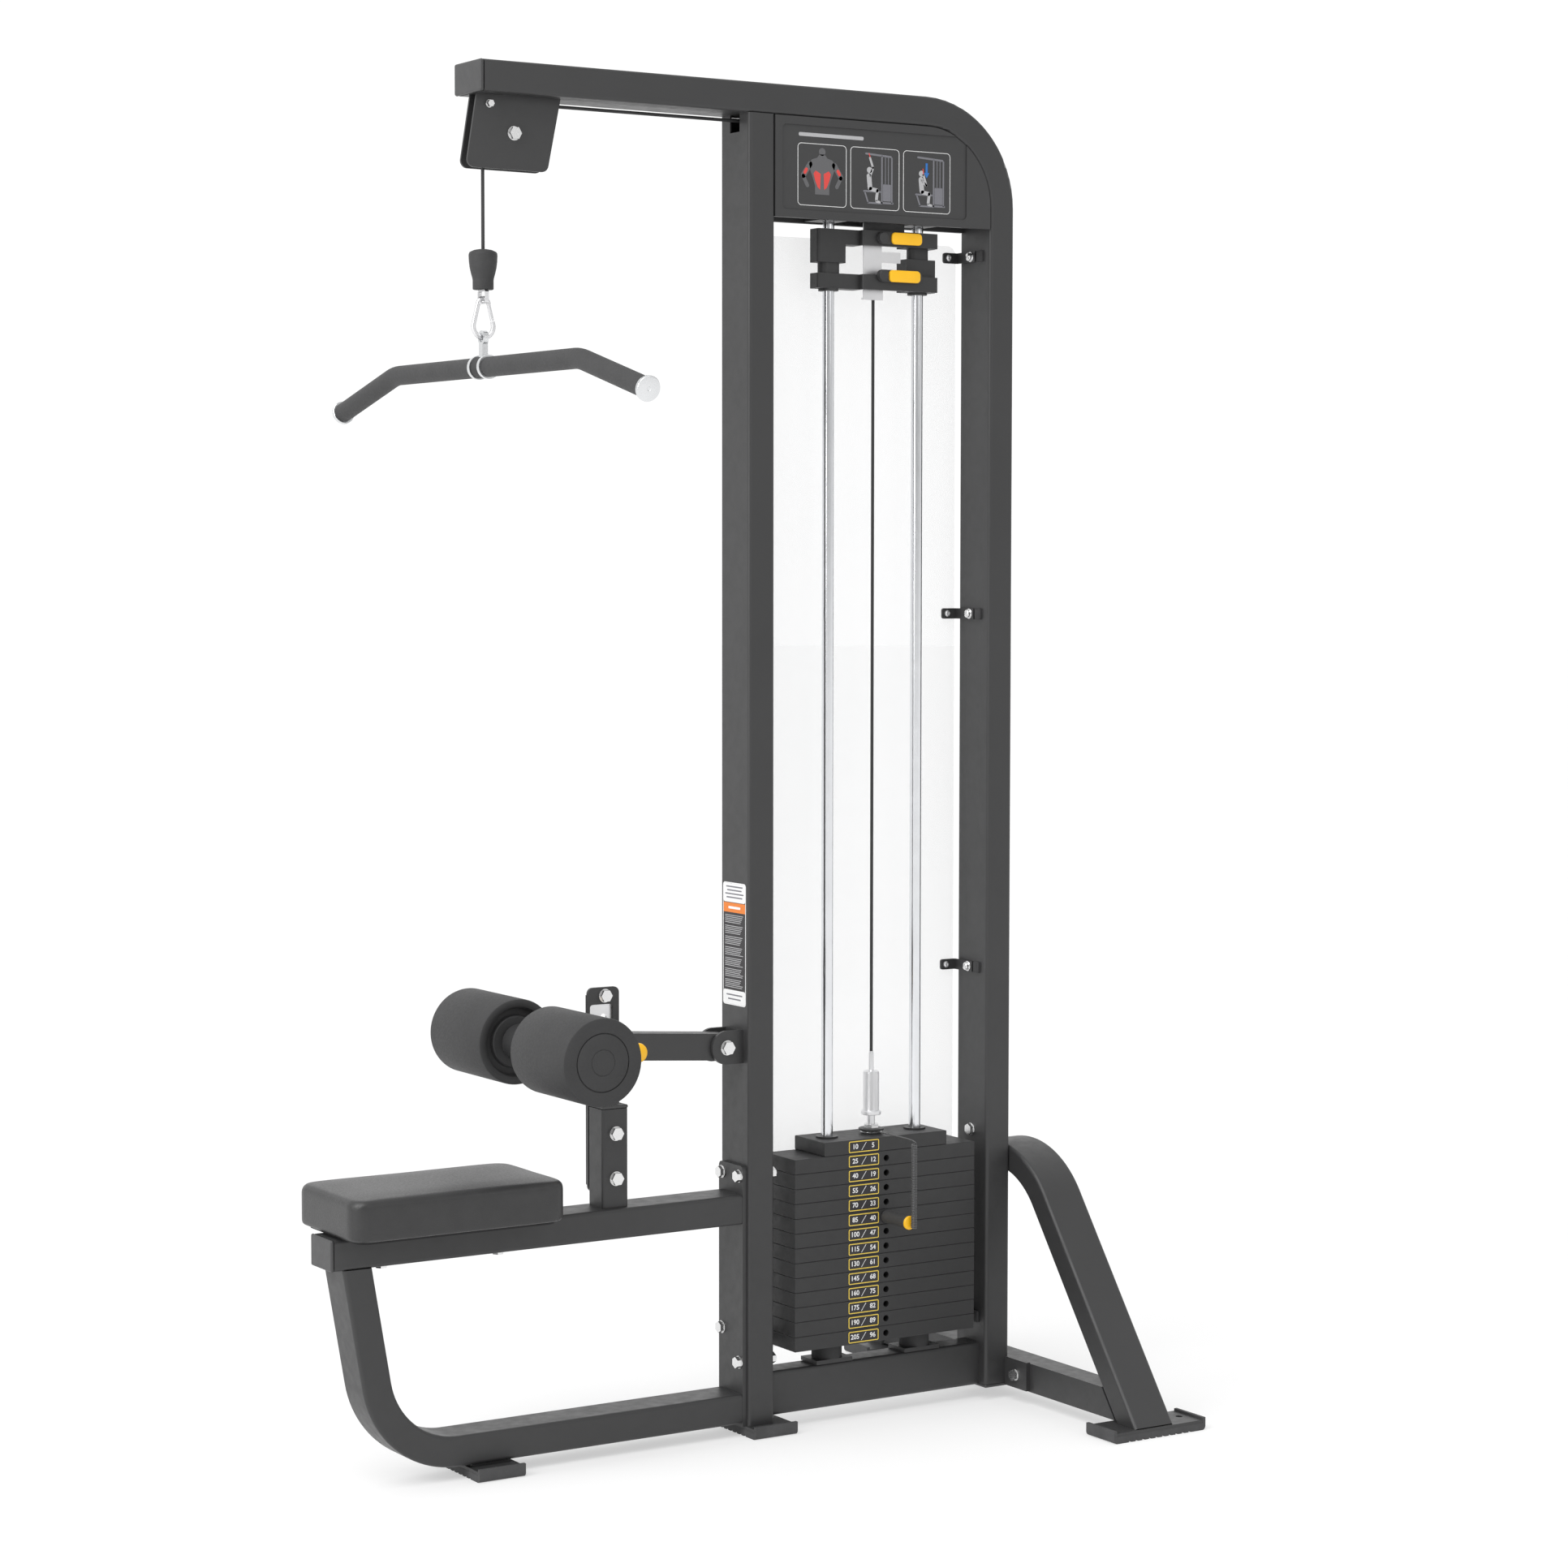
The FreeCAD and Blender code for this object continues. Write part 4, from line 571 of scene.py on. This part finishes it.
def bar_fittings():
    """End caps square to the bar's sloping ends, and the sleeve round its middle."""
    (end_y, end_z), (slope_y, slope_z) = BAR_END, BAR_END_SLOPE
    for name, side in (("bar_end_cap_right", -1), ("bar_end_cap_left", 1)):
        direction = Vector((0, side * slope_y, slope_z)).normalized()
        place = Matrix.Translation(Vector((BAR_X, side * end_y, end_z)) * MM)
        place @= direction.to_track_quat("Z", "Y").to_matrix().to_4x4()
        cap = [(0, 0.05), (18.6, 0.05), (19.4, 0.8), (19.5, 2), (19.5, 5.6), (19, 6.6), (18, 7), (3.4, 7.1),
               (2.6, 6.2), (0, 5.8)]
        finish_mesh(name, turned(cap, place), CHROME, "bar", 30,
                    ["bar_end_caps"] if side < 0 else ())
    sleeve = [(15.6, -12.2), (16.6, -12.2), (17, -11.4), (17, 11.4), (16.6, 12.2), (15.6, 12.2)]
    place = at(BAR_X, 0, BAR_MIDDLE_Z, ALONG_NEAR)
    finish_mesh("bar_centre_sleeve", turned(sleeve + sleeve[:1], place), BLACK_RUBBER, "bar")


def foam_rollers():
    """Each roller is one closed turned shape: inner disc, step, rounded skin and moulded end ring."""
    profile = [(11.6, 58), (40, 58), (42, 59.5), (42.5, 64), (44, 66), (53, 66), (55.4, 64), (56, 57),
               (57, 53.6), (59.5, 52.3), (66.5, 52.1), (69, 53.2), (70, 56), (70, 141), (70, 226),
               (69.2, 228.8), (66.5, 230), (48, 230), (47, 229.7), (46.6, 228), (45.4, 228), (45, 229.8),
               (44, 230.4), (30, 231), (21.6, 231.1), (21, 230.4), (20.2, 230.4), (19.6, 231.1),
               (0, 231.2)]
    for name, body, turn in (("foam_roller_near", "roller_right", ALONG_NEAR),
                             ("foam_roller_far", "roller_left", ALONG_FAR)):
        shape = turned(profile, at(ROLLER_AXLE[0], 0, ROLLER_AXLE[1], turn), 96)
        roller = finish_mesh(name, shape, ROLLER_FOAM, body, 32, [f"foam_{body}"])


# ------------------------------------------------------------------ seat cushion
def cushion_shell():
    """The pad before it swells: rounded corners, with a step underneath that takes the board."""
    side_room, top_room, bottom_room, board_gap = 1, 2.2, 0.2, 0.7
    corner_radius, board_radius, top_rounding, bottom_rounding = 29, 20, 11, 6
    built = bmesh.new()
    low, high = (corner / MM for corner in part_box("seat_pad"))
    board_low, board_high = (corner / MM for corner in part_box("seat_board"))
    outside = rounded_outline(low.x + side_room, low.y + side_room,
                              high.x - side_room, high.y - side_room, corner_radius)
    around_board = rounded_outline(board_low.x - board_gap, board_low.y - board_gap,
                                   board_high.x + board_gap, board_high.y + board_gap, board_radius)
    loops = []
    for outline, z in ((around_board, board_high.z + board_gap), (around_board, low.z + bottom_room),
                       (outside, low.z + bottom_room), (outside, high.z - top_room)):
        loops.append([built.verts.new((x * MM, y * MM, z * MM)) for x, y in outline])
    count = len(loops[0])
    for lower, upper in zip(loops, loops[1:]):
        for step in range(count):
            after = (step + 1) % count
            built.faces.new((lower[step], lower[after], upper[after], upper[step]))
    built.faces.new(loops[0][::-1])
    built.faces.new(loops[-1])
    bmesh.ops.recalc_face_normals(built, faces=built.faces)
    for ring, radius in ((loops[3], top_rounding), (loops[2], bottom_rounding)):
        rim = [edge for edge in built.edges if set(edge.verts) <= set(ring)]
        bmesh.ops.bevel(built, geom=rim, offset=radius * MM, segments=4, affect="EDGES", profile=0.5)
    return built


def draw_in(item, depth):
    """Sides drawn in a little between the corners, as a cover does when it is stapled underneath."""
    low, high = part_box("seat_pad")
    middle, half = (low + high) / 2, (high - low) / 2
    for vertex in item.data.vertices:
        along = (vertex.co.x - middle.x) / half.x
        across = (vertex.co.y - middle.y) / half.y
        vertex.co.x -= depth * along ** 3 * (1 - across ** 2)
        vertex.co.y -= depth * across ** 3 * (1 - along ** 2)


def seat_cushion():
    """The pad, remeshed, blown up as cloth, drawn in at its sides and smoothed."""
    built = cushion_shell()
    mesh = bpy.data.meshes.new("seat_cushion")
    built.to_mesh(mesh)
    built.free()
    cushion = bpy.data.objects.new("seat_cushion", mesh)
    scene.collection.objects.link(cushion)
    remesh = cushion.modifiers.new("remesh", "REMESH")
    remesh.mode = "VOXEL"
    remesh.voxel_size = 4 * MM
    apply_modifiers(cushion)
    swell(cushion)
    draw_in(cushion, 1.5 * MM)
    smooth = cushion.modifiers.new("smooth", "SUBSURF")
    smooth.levels = 1
    smooth.render_levels = 1
    apply_modifiers(cushion)
    cushion.data.materials.clear()
    cushion.data.materials.append(SEAT_VINYL)
    cushion.data.shade_smooth()
    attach(cushion, "frame")
    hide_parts("seat_pad")


def apply_modifiers(item):
    graph = bpy.context.evaluated_depsgraph_get()
    made = bpy.data.meshes.new_from_object(item.evaluated_get(graph))
    item.modifiers.clear()
    item.data = made


def swell(item):
    """Blow the pad up as cloth, with its underside held. Only the movement along each point's own
    normal is kept, limited and smoothed, so that the cover stays taut over firm foam."""
    most_rise, smoothing_rounds, side_share = 4 * MM, 60, 0.4
    before = [vertex.co.copy() for vertex in item.data.vertices]
    normals = [vertex.normal.copy() for vertex in item.data.vertices]
    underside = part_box("seat_board")[1].z + 3 * MM
    held = item.vertex_groups.new(name="held")
    held.add([number for number, place in enumerate(before) if place.z < underside], 1.0, "REPLACE")
    cloth = item.modifiers.new("cloth", "CLOTH")
    cloth.settings.use_pressure = True
    cloth.settings.uniform_pressure_force = 4
    cloth.settings.tension_stiffness = 40
    cloth.settings.compression_stiffness = 40
    cloth.settings.bending_stiffness = 8
    cloth.settings.vertex_group_mass = "held"
    cloth.settings.effector_weights.gravity = 0
    for frame_number in range(1, 21):
        scene.frame_set(frame_number)
    apply_modifiers(item)
    rises = [min(most_rise, max(0, (vertex.co - start).dot(normal)))
             for vertex, start, normal in zip(item.data.vertices, before, normals)]
    neighbours = [[] for _ in rises]
    for edge in item.data.edges:
        first, second = edge.vertices
        neighbours[first].append(second)
        neighbours[second].append(first)
    for _ in range(smoothing_rounds):
        rises = [(rise + sum(rises[near] for near in around)) / (len(around) + 1)
                 for rise, around in zip(rises, neighbours)]
    for vertex, start, normal, rise in zip(item.data.vertices, before, normals, rises):
        sideways = 1 - abs(normal.z)
        vertex.co = start + normal * rise * (1 - (1 - side_share) * sideways)
    scene.frame_set(1)


# ------------------------------------------------------------------ add-on weight latches
def latches():
    """A lever plate, its yellow pad and its pivot on each add-on weight."""
    pivot_x = 247
    front_on = at(0, 0, 0, ALONG_NEAR)
    for name, z, pad_left, pad_right in (("upper", 2001.5, 264, 325), ("lower", 1938.5, 259, 322)):
        body = f"{name}_latch"
        lever = slab(capsule((pivot_x, z), (318, z), 10.4), 27.4, 31.6, front_on, 0.8)
        finish_mesh(f"{name}_lever_plate", lever, ADDON_PLASTIC, body,
                    35, [f"{name}_latch_lever"])
        pad = slab(rounded_outline(pad_left, z - 10, pad_right, z + 10, 7), 31.5, 35.3, front_on, 1.6, 4)
        finish_mesh(f"{name}_lever_pad", pad, YELLOW, body)
        pivot = [(0, 31.5), (9.6, 31.5), (9.6, 33), (8.6, 33.3), (8.6, 34.2), (9.2, 34.5), (9.2, 35.6),
                 (8.4, 36.3), (0, 36.4)]
        stub = turned(pivot, at(pivot_x, 0, z, ALONG_NEAR), 40)
        finish_mesh(f"{name}_lever_pivot", stub, DARK_PLASTIC, body)


def bracket_cover():
    """Painted shade: a dark slab over the front of the bracket web between the rods, just under the sign
    panel, standing in for the shadow there.
    """
    # This dark slab is painted shade where the bracket web is only in shadow.
    cover = slab(rounded_outline(221, 2013.8, 303, 2036, 1), 12.1, 13.3, at(0, 0, 0, ALONG_NEAR), 0.3)
    finish_mesh("bracket_cover", cover, PANEL_PAINT, "frame")


# ------------------------------------------------------------------ printed labels
def weight_labels():
    """Numbered labels down the stack: pounds on the left of the stroke, kilograms on the right."""
    centre_x, front = 202.5, 47.5
    half_wide, half_high = 29.8, 9
    top_plate_z, first_plate_z, plate_pitch = 471.1, 446.5, 25.1
    pounds = [10 + 15 * number for number in range(14)]
    kilograms = [5 + 7 * number for number in range(14)]
    heights = [top_plate_z] + [first_plate_z - plate_pitch * number for number in range(13)]
    for name, body, chosen in (("lifted", "lifted_stack", range(0, 6)), ("resting", "frame", range(6, 14))):
        fields, borders, prints = [], [], []
        for number in chosen:
            place = at(centre_x, -front, heights[number], ALONG_NEAR)
            field = rounded_outline(-half_wide, -half_high, half_wide, half_high, 2)
            fields.append(slab(field, 0.02, 0.25, place))
            borders.append(frame_outline(-half_wide - 0.7, -half_high - 0.7, half_wide + 0.7,
                                         half_high + 0.7, 2.6, 1.5, 0.4, place))
            prints.append(slab(capsule((-4.5, -6.2), (4.5, 6.2), 0.45), 0.2, 0.38, place))
            for text, shift in ((pounds[number], -17.5), (kilograms[number], 18.5)):
                prints.append(numerals(str(text), place @ at(shift, 0, 0.3)))
        finish_mesh(f"{name}_label_fields", merged(fields), BLACK_INK, body)
        finish_mesh(f"{name}_label_borders", merged(borders), YELLOW_INK, body)
        finish_mesh(f"{name}_label_numbers", merged(prints), WHITE_INK, body)


def seated_figure(arms):
    """Outlines of a plain seated figure seen from the side, in millimetres about a picture's middle."""
    return [disc(-13, 14, 5.2), capsule((-14, 4), (-12, -15), 4.6), capsule((-11, -17), (2, -19), 3.4),
            capsule((3, -19), (1, -34), 2.7), capsule((1, -37), (7, -38), 2)] + arms


MACHINE = [capsule((-20, 41), (30, 38), 1.6), capsule((12, 38), (12, -38), 1.4),
           capsule((32, 36), (32, -38), 1.4), capsule((19, 36), (19, -8), 0.7),
           capsule((25, 36), (25, -8), 0.7), capsule((12, -39), (34, -39), 1.6),
           rounded_outline(14, -36, 30, -8, 1.5), capsule((-24, -21), (10, -21), 1.5),
           capsule((-22, -23), (-16, -39), 1.4), capsule((-16, -40), (12, -40), 1.4)]


def sign_pictures():
    """Three framed pictures on the front panel: muscles used, start and end of the movement."""
    front, picture_low, picture_high = 43.0, 2046, 2148
    muscles_x, start_x, end_x = 118, 225, 330
    torso = [(-5, 34), (-10, 28), (-20, 25), (-26, 18), (-23, 6), (-18, -6), (-14, -18), (-14, -32),
             (14, -32), (14, -18), (18, -6), (23, 6), (26, 18), (20, 25), (10, 28), (5, 34)]
    arm = [capsule((-24, 17), (-37, -2), 4.8), capsule((-37, -3), (-29, -18), 3.4)]
    back_muscle = [(-3, 2), (-13, 7), (-17, 2), (-14, -9), (-9, -20), (-4, -24)]
    shoulder = capsule((-31, 8), (-34, 3), 2.8)
    raised = [capsule((-12, 4), (-6, 18), 2.2), capsule((-6, 18), (-12, 34), 2)]
    pulled = [capsule((-13, 3), (-3, -5), 2.2), capsule((-3, -5), (-9, 12), 2)]
    arrow = [(-4.5, 32), (-4.5, 16), (-8, 16), (-2.5, 7), (3, 16), (-0.5, 16), (-0.5, 32)]
    inks = {"frames": WHITE_INK, "figures": PALE_INK, "machines": GREY_INK, "torso": DIM_INK,
            "muscles": RED_INK, "arrow": BLUE_INK}
    shapes = {key: [] for key in inks}

    def add(key, outlines, centre_x, level):
        place = at(centre_x, -front, (picture_low + picture_high) / 2, ALONG_NEAR)
        shapes[key] += [slab(outline, 0.02, level, place) for outline in outlines]

    panel = at(0, -front, 0, ALONG_NEAR)
    for left, right in ((70, 166), (174, 272), (280, 376)):
        ring = frame_outline(left, picture_low, right, picture_high, 7, 0.9, 0.25, panel)
        shapes["frames"].append(ring)
    title_bar = rounded_outline(72, 2159, 200, 2165, 2.4)
    shapes["figures"].append(slab(title_bar, 0.02, 0.25, panel))
    add("torso", [torso, disc(0, 38, 6.5)] + arm + [mirrored(outline) for outline in arm], muscles_x, 0.2)
    add("muscles", [back_muscle, mirrored(back_muscle), shoulder, mirrored(shoulder)], muscles_x, 0.35)
    for centre_x, arms in ((start_x, raised), (end_x, pulled)):
        add("machines", MACHINE, centre_x, 0.15)
        add("figures", seated_figure(arms), centre_x, 0.3)
    add("muscles", [capsule((-12, 36), (-14, 41), 0.8)], start_x, 0.35)
    add("muscles", [capsule((-9, 14), (-10, 22), 0.8)], end_x, 0.35)
    add("arrow", [arrow], end_x, 0.35)
    for key, ink_used in inks.items():
        finish_mesh(f"sign_{key}", merged(shapes[key]), ink_used, "frame")


def upright_label():
    """Plain label on the front upright, with lines in place of any writing."""
    front_face_x = -25
    place = at(front_face_x, 0, 0, (90, 0, -90))
    left, right, low, high = -36, 34, 722, 925
    inner_left, inner_right = left + 0.8, right - 0.8
    backing = slab(rounded_outline(left, low, right, high, 5), 0.02, 0.2, place)
    finish_mesh("label_backing", backing, BLACK_INK, "frame")
    border = frame_outline(left - 1, low - 1, right + 1, high + 1, 6, 1.6, 0.3, place)
    finish_mesh("label_border", border, WHITE_INK, "frame")
    white = [rounded_outline(inner_left, 893, inner_right, high - 0.8, 4),
             rounded_outline(inner_left, low + 0.8, inner_right, 746, 4)]
    bands = merged([slab(outline, 0.1, 0.3, place) for outline in white])
    finish_mesh("label_white_bands", bands, WHITE_INK, "frame")
    orange = slab(rounded_outline(inner_left, 876, inner_right, 892, 1), 0.1, 0.3, place)
    finish_mesh("label_orange_band", orange, ORANGE_INK, "frame")
    small = []
    text_left, top_line_z, line_pitch, lines_to_gap = left + 6, 871, 3, 6
    for row in range(41):
        if (row + 1) % lines_to_gap == 0:
            continue
        text_right = text_left + 56 - (row * 13) % 11
        z = top_line_z - row * line_pitch
        small.append(slab(capsule((text_left, z), (text_right, z), 0.55), 0.15, 0.28, place))
    dark = []
    for z, length in ((919, 50), (913, 44), (907, 56), (901, 48), (738, 48), (731, 38)):
        dark.append(slab(capsule((-1 - length / 2, z), (-1 + length / 2, z), 1.2), 0.25, 0.38, place))
    heading = slab(capsule((-18, 884), (16, 884), 2), 0.25, 0.38, place)
    finish_mesh("label_pale_lines", heading, WHITE_INK, "frame")
    finish_mesh("label_small_lines", merged(small), PALE_INK, "frame")
    finish_mesh("label_dark_lines", merged(dark), GREY_INK, "frame")


# ------------------------------------------------------------------ small hardware
def clip_hardware():
    """Screws through the clips' tabs, bolts through their flanges, and plugs beside them."""
    pan_head = [(0, 45.7), (2.4, 45.7), (2.6, 44.5), (3.2, 44.5), (5, 45.3), (5.8, 47.1), (5.6, 48.2),
                (0, 48.2)]
    cap_nut = [(0, 0), (8.6, 0), (8.8, 0.8), (8.2, 1.5), (7, 1.6), (6.6, 2.2), (6.8, 5.2), (5.8, 6.8),
               (3, 8), (0, 8.2)]
    near_face, far_face = UPRIGHT_INSIDE_X
    screws, nuts, plugs = [], [], []
    for z in CLIP_HEIGHTS:
        for face, way in ((far_face, -1), (near_face, 1)):
            screws.append(turned(pan_head, at(face + way * 22, 0, z, ALONG_FAR), 24))
            nuts.append(turned(cap_nut, at(face + way * 4, 8, z, (0, 90 * way, 0)), 24))
            plugs.append(slab(rounded_outline(-8, -9.5, 8, 9.5, 1.5), 0, 3.8,
                              at(face, -16, z, (90, 0, 90 * way)), 0.6))
    finish_mesh("clip_screws", merged(screws), SILVER, "frame")
    finish_mesh("clip_nuts", merged(nuts), ZINC, "frame")
    finish_mesh("upright_plugs", merged(plugs), BLACK_RUBBER, "frame")


# ------------------------------------------------------------------ studio
def photograph_camera():
    camera = bpy.data.objects.new("camera", bpy.data.cameras.new("camera"))
    camera.location = (-3.08199, -4.98984, 1.46300)
    camera.rotation_euler = [math.radians(angle) for angle in (86.36, -0.05, -32.29)]
    camera.data.lens = 81.07
    camera.data.sensor_width = 36
    camera.data.clip_end = 60
    scene.collection.objects.link(camera)
    scene.camera = camera


def pale_floor():
    floor_mesh = bmesh.new()
    bmesh.ops.create_grid(floor_mesh, x_segments=2, y_segments=2, size=120)
    mesh = bpy.data.meshes.new("floor")
    floor_mesh.to_mesh(mesh)
    floor_mesh.free()
    floor = bpy.data.objects.new("floor", mesh)
    scene.collection.objects.link(floor)
    look = Shader("studio_floor")
    look.set(Roughness=0.9, Specular_IOR_Level=0.0)
    look.set(Emission_Color=(1, 1, 1, 1), Emission_Strength=0.5)
    shades = look.mix_colours(look.noise(2), (0.42, 0.42, 0.42), (0.44, 0.44, 0.44))
    mesh.materials.append(look.finish(shades))


def studio_lights():
    """Broad soft light from above, and a softbox at the left and in front."""
    scene.view_settings.view_transform = "Standard"
    sun = bpy.data.objects.new("overhead_sun", bpy.data.lights.new("overhead_sun", "SUN"))
    sun.data.energy = 1.7
    sun.data.angle = math.radians(50)
    sun.rotation_euler = Vector((0.5, 0.25, -0.85)).to_track_quat("-Z", "Y").to_euler()
    scene.collection.objects.link(sun)
    for name, place, size, power in (("left_softbox", (-4.5, -0.8, 2.6), 2.6, 85),
                                     ("front_softbox", (0.8, -5.5, 3.5), 2.5, 25)):
        light = bpy.data.objects.new(name, bpy.data.lights.new(name, "AREA"))
        light.data.size = size
        light.data.energy = power
        light.location = place
        light.rotation_euler = (Vector((0, 0, 1.1)) - Vector(place)).to_track_quat("-Z", "Y").to_euler()
        scene.collection.objects.link(light)


def studio_world():
    """White studio, dimmer on the side that the photographer stands on."""
    scene.world = bpy.data.worlds.new("studio")
    scene.world.use_nodes = True
    tree = scene.world.node_tree
    facing = tree.nodes.new("ShaderNodeVectorMath")
    facing.operation = "DOT_PRODUCT"
    facing.inputs[1].default_value = (0.533, 0.844, 0)
    tree.links.new(tree.nodes.new("ShaderNodeTexCoord").outputs["Generated"], facing.inputs[0])
    level = tree.nodes.new("ShaderNodeMapRange")
    for key, value in (("From Min", -0.9), ("From Max", 0.8), ("To Min", 0.42), ("To Max", 1.06)):
        level.inputs[key].default_value = value
    tree.links.new(facing.outputs["Value"], level.inputs["Value"])
    tree.links.new(level.outputs["Result"], tree.nodes["Background"].inputs["Strength"])
    tree.nodes["Background"].inputs["Color"].default_value = (1, 1, 1, 1)


dress_frame()
cables()
lanyard()
cable_fittings()
selector_pin()
arm_pull_pin()
bar_fittings()
foam_rollers()
seat_cushion()
latches()
bracket_cover()
weight_labels()
sign_pictures()
upright_label()
clip_hardware()
photograph_camera()
pale_floor()
studio_world()
studio_lights()
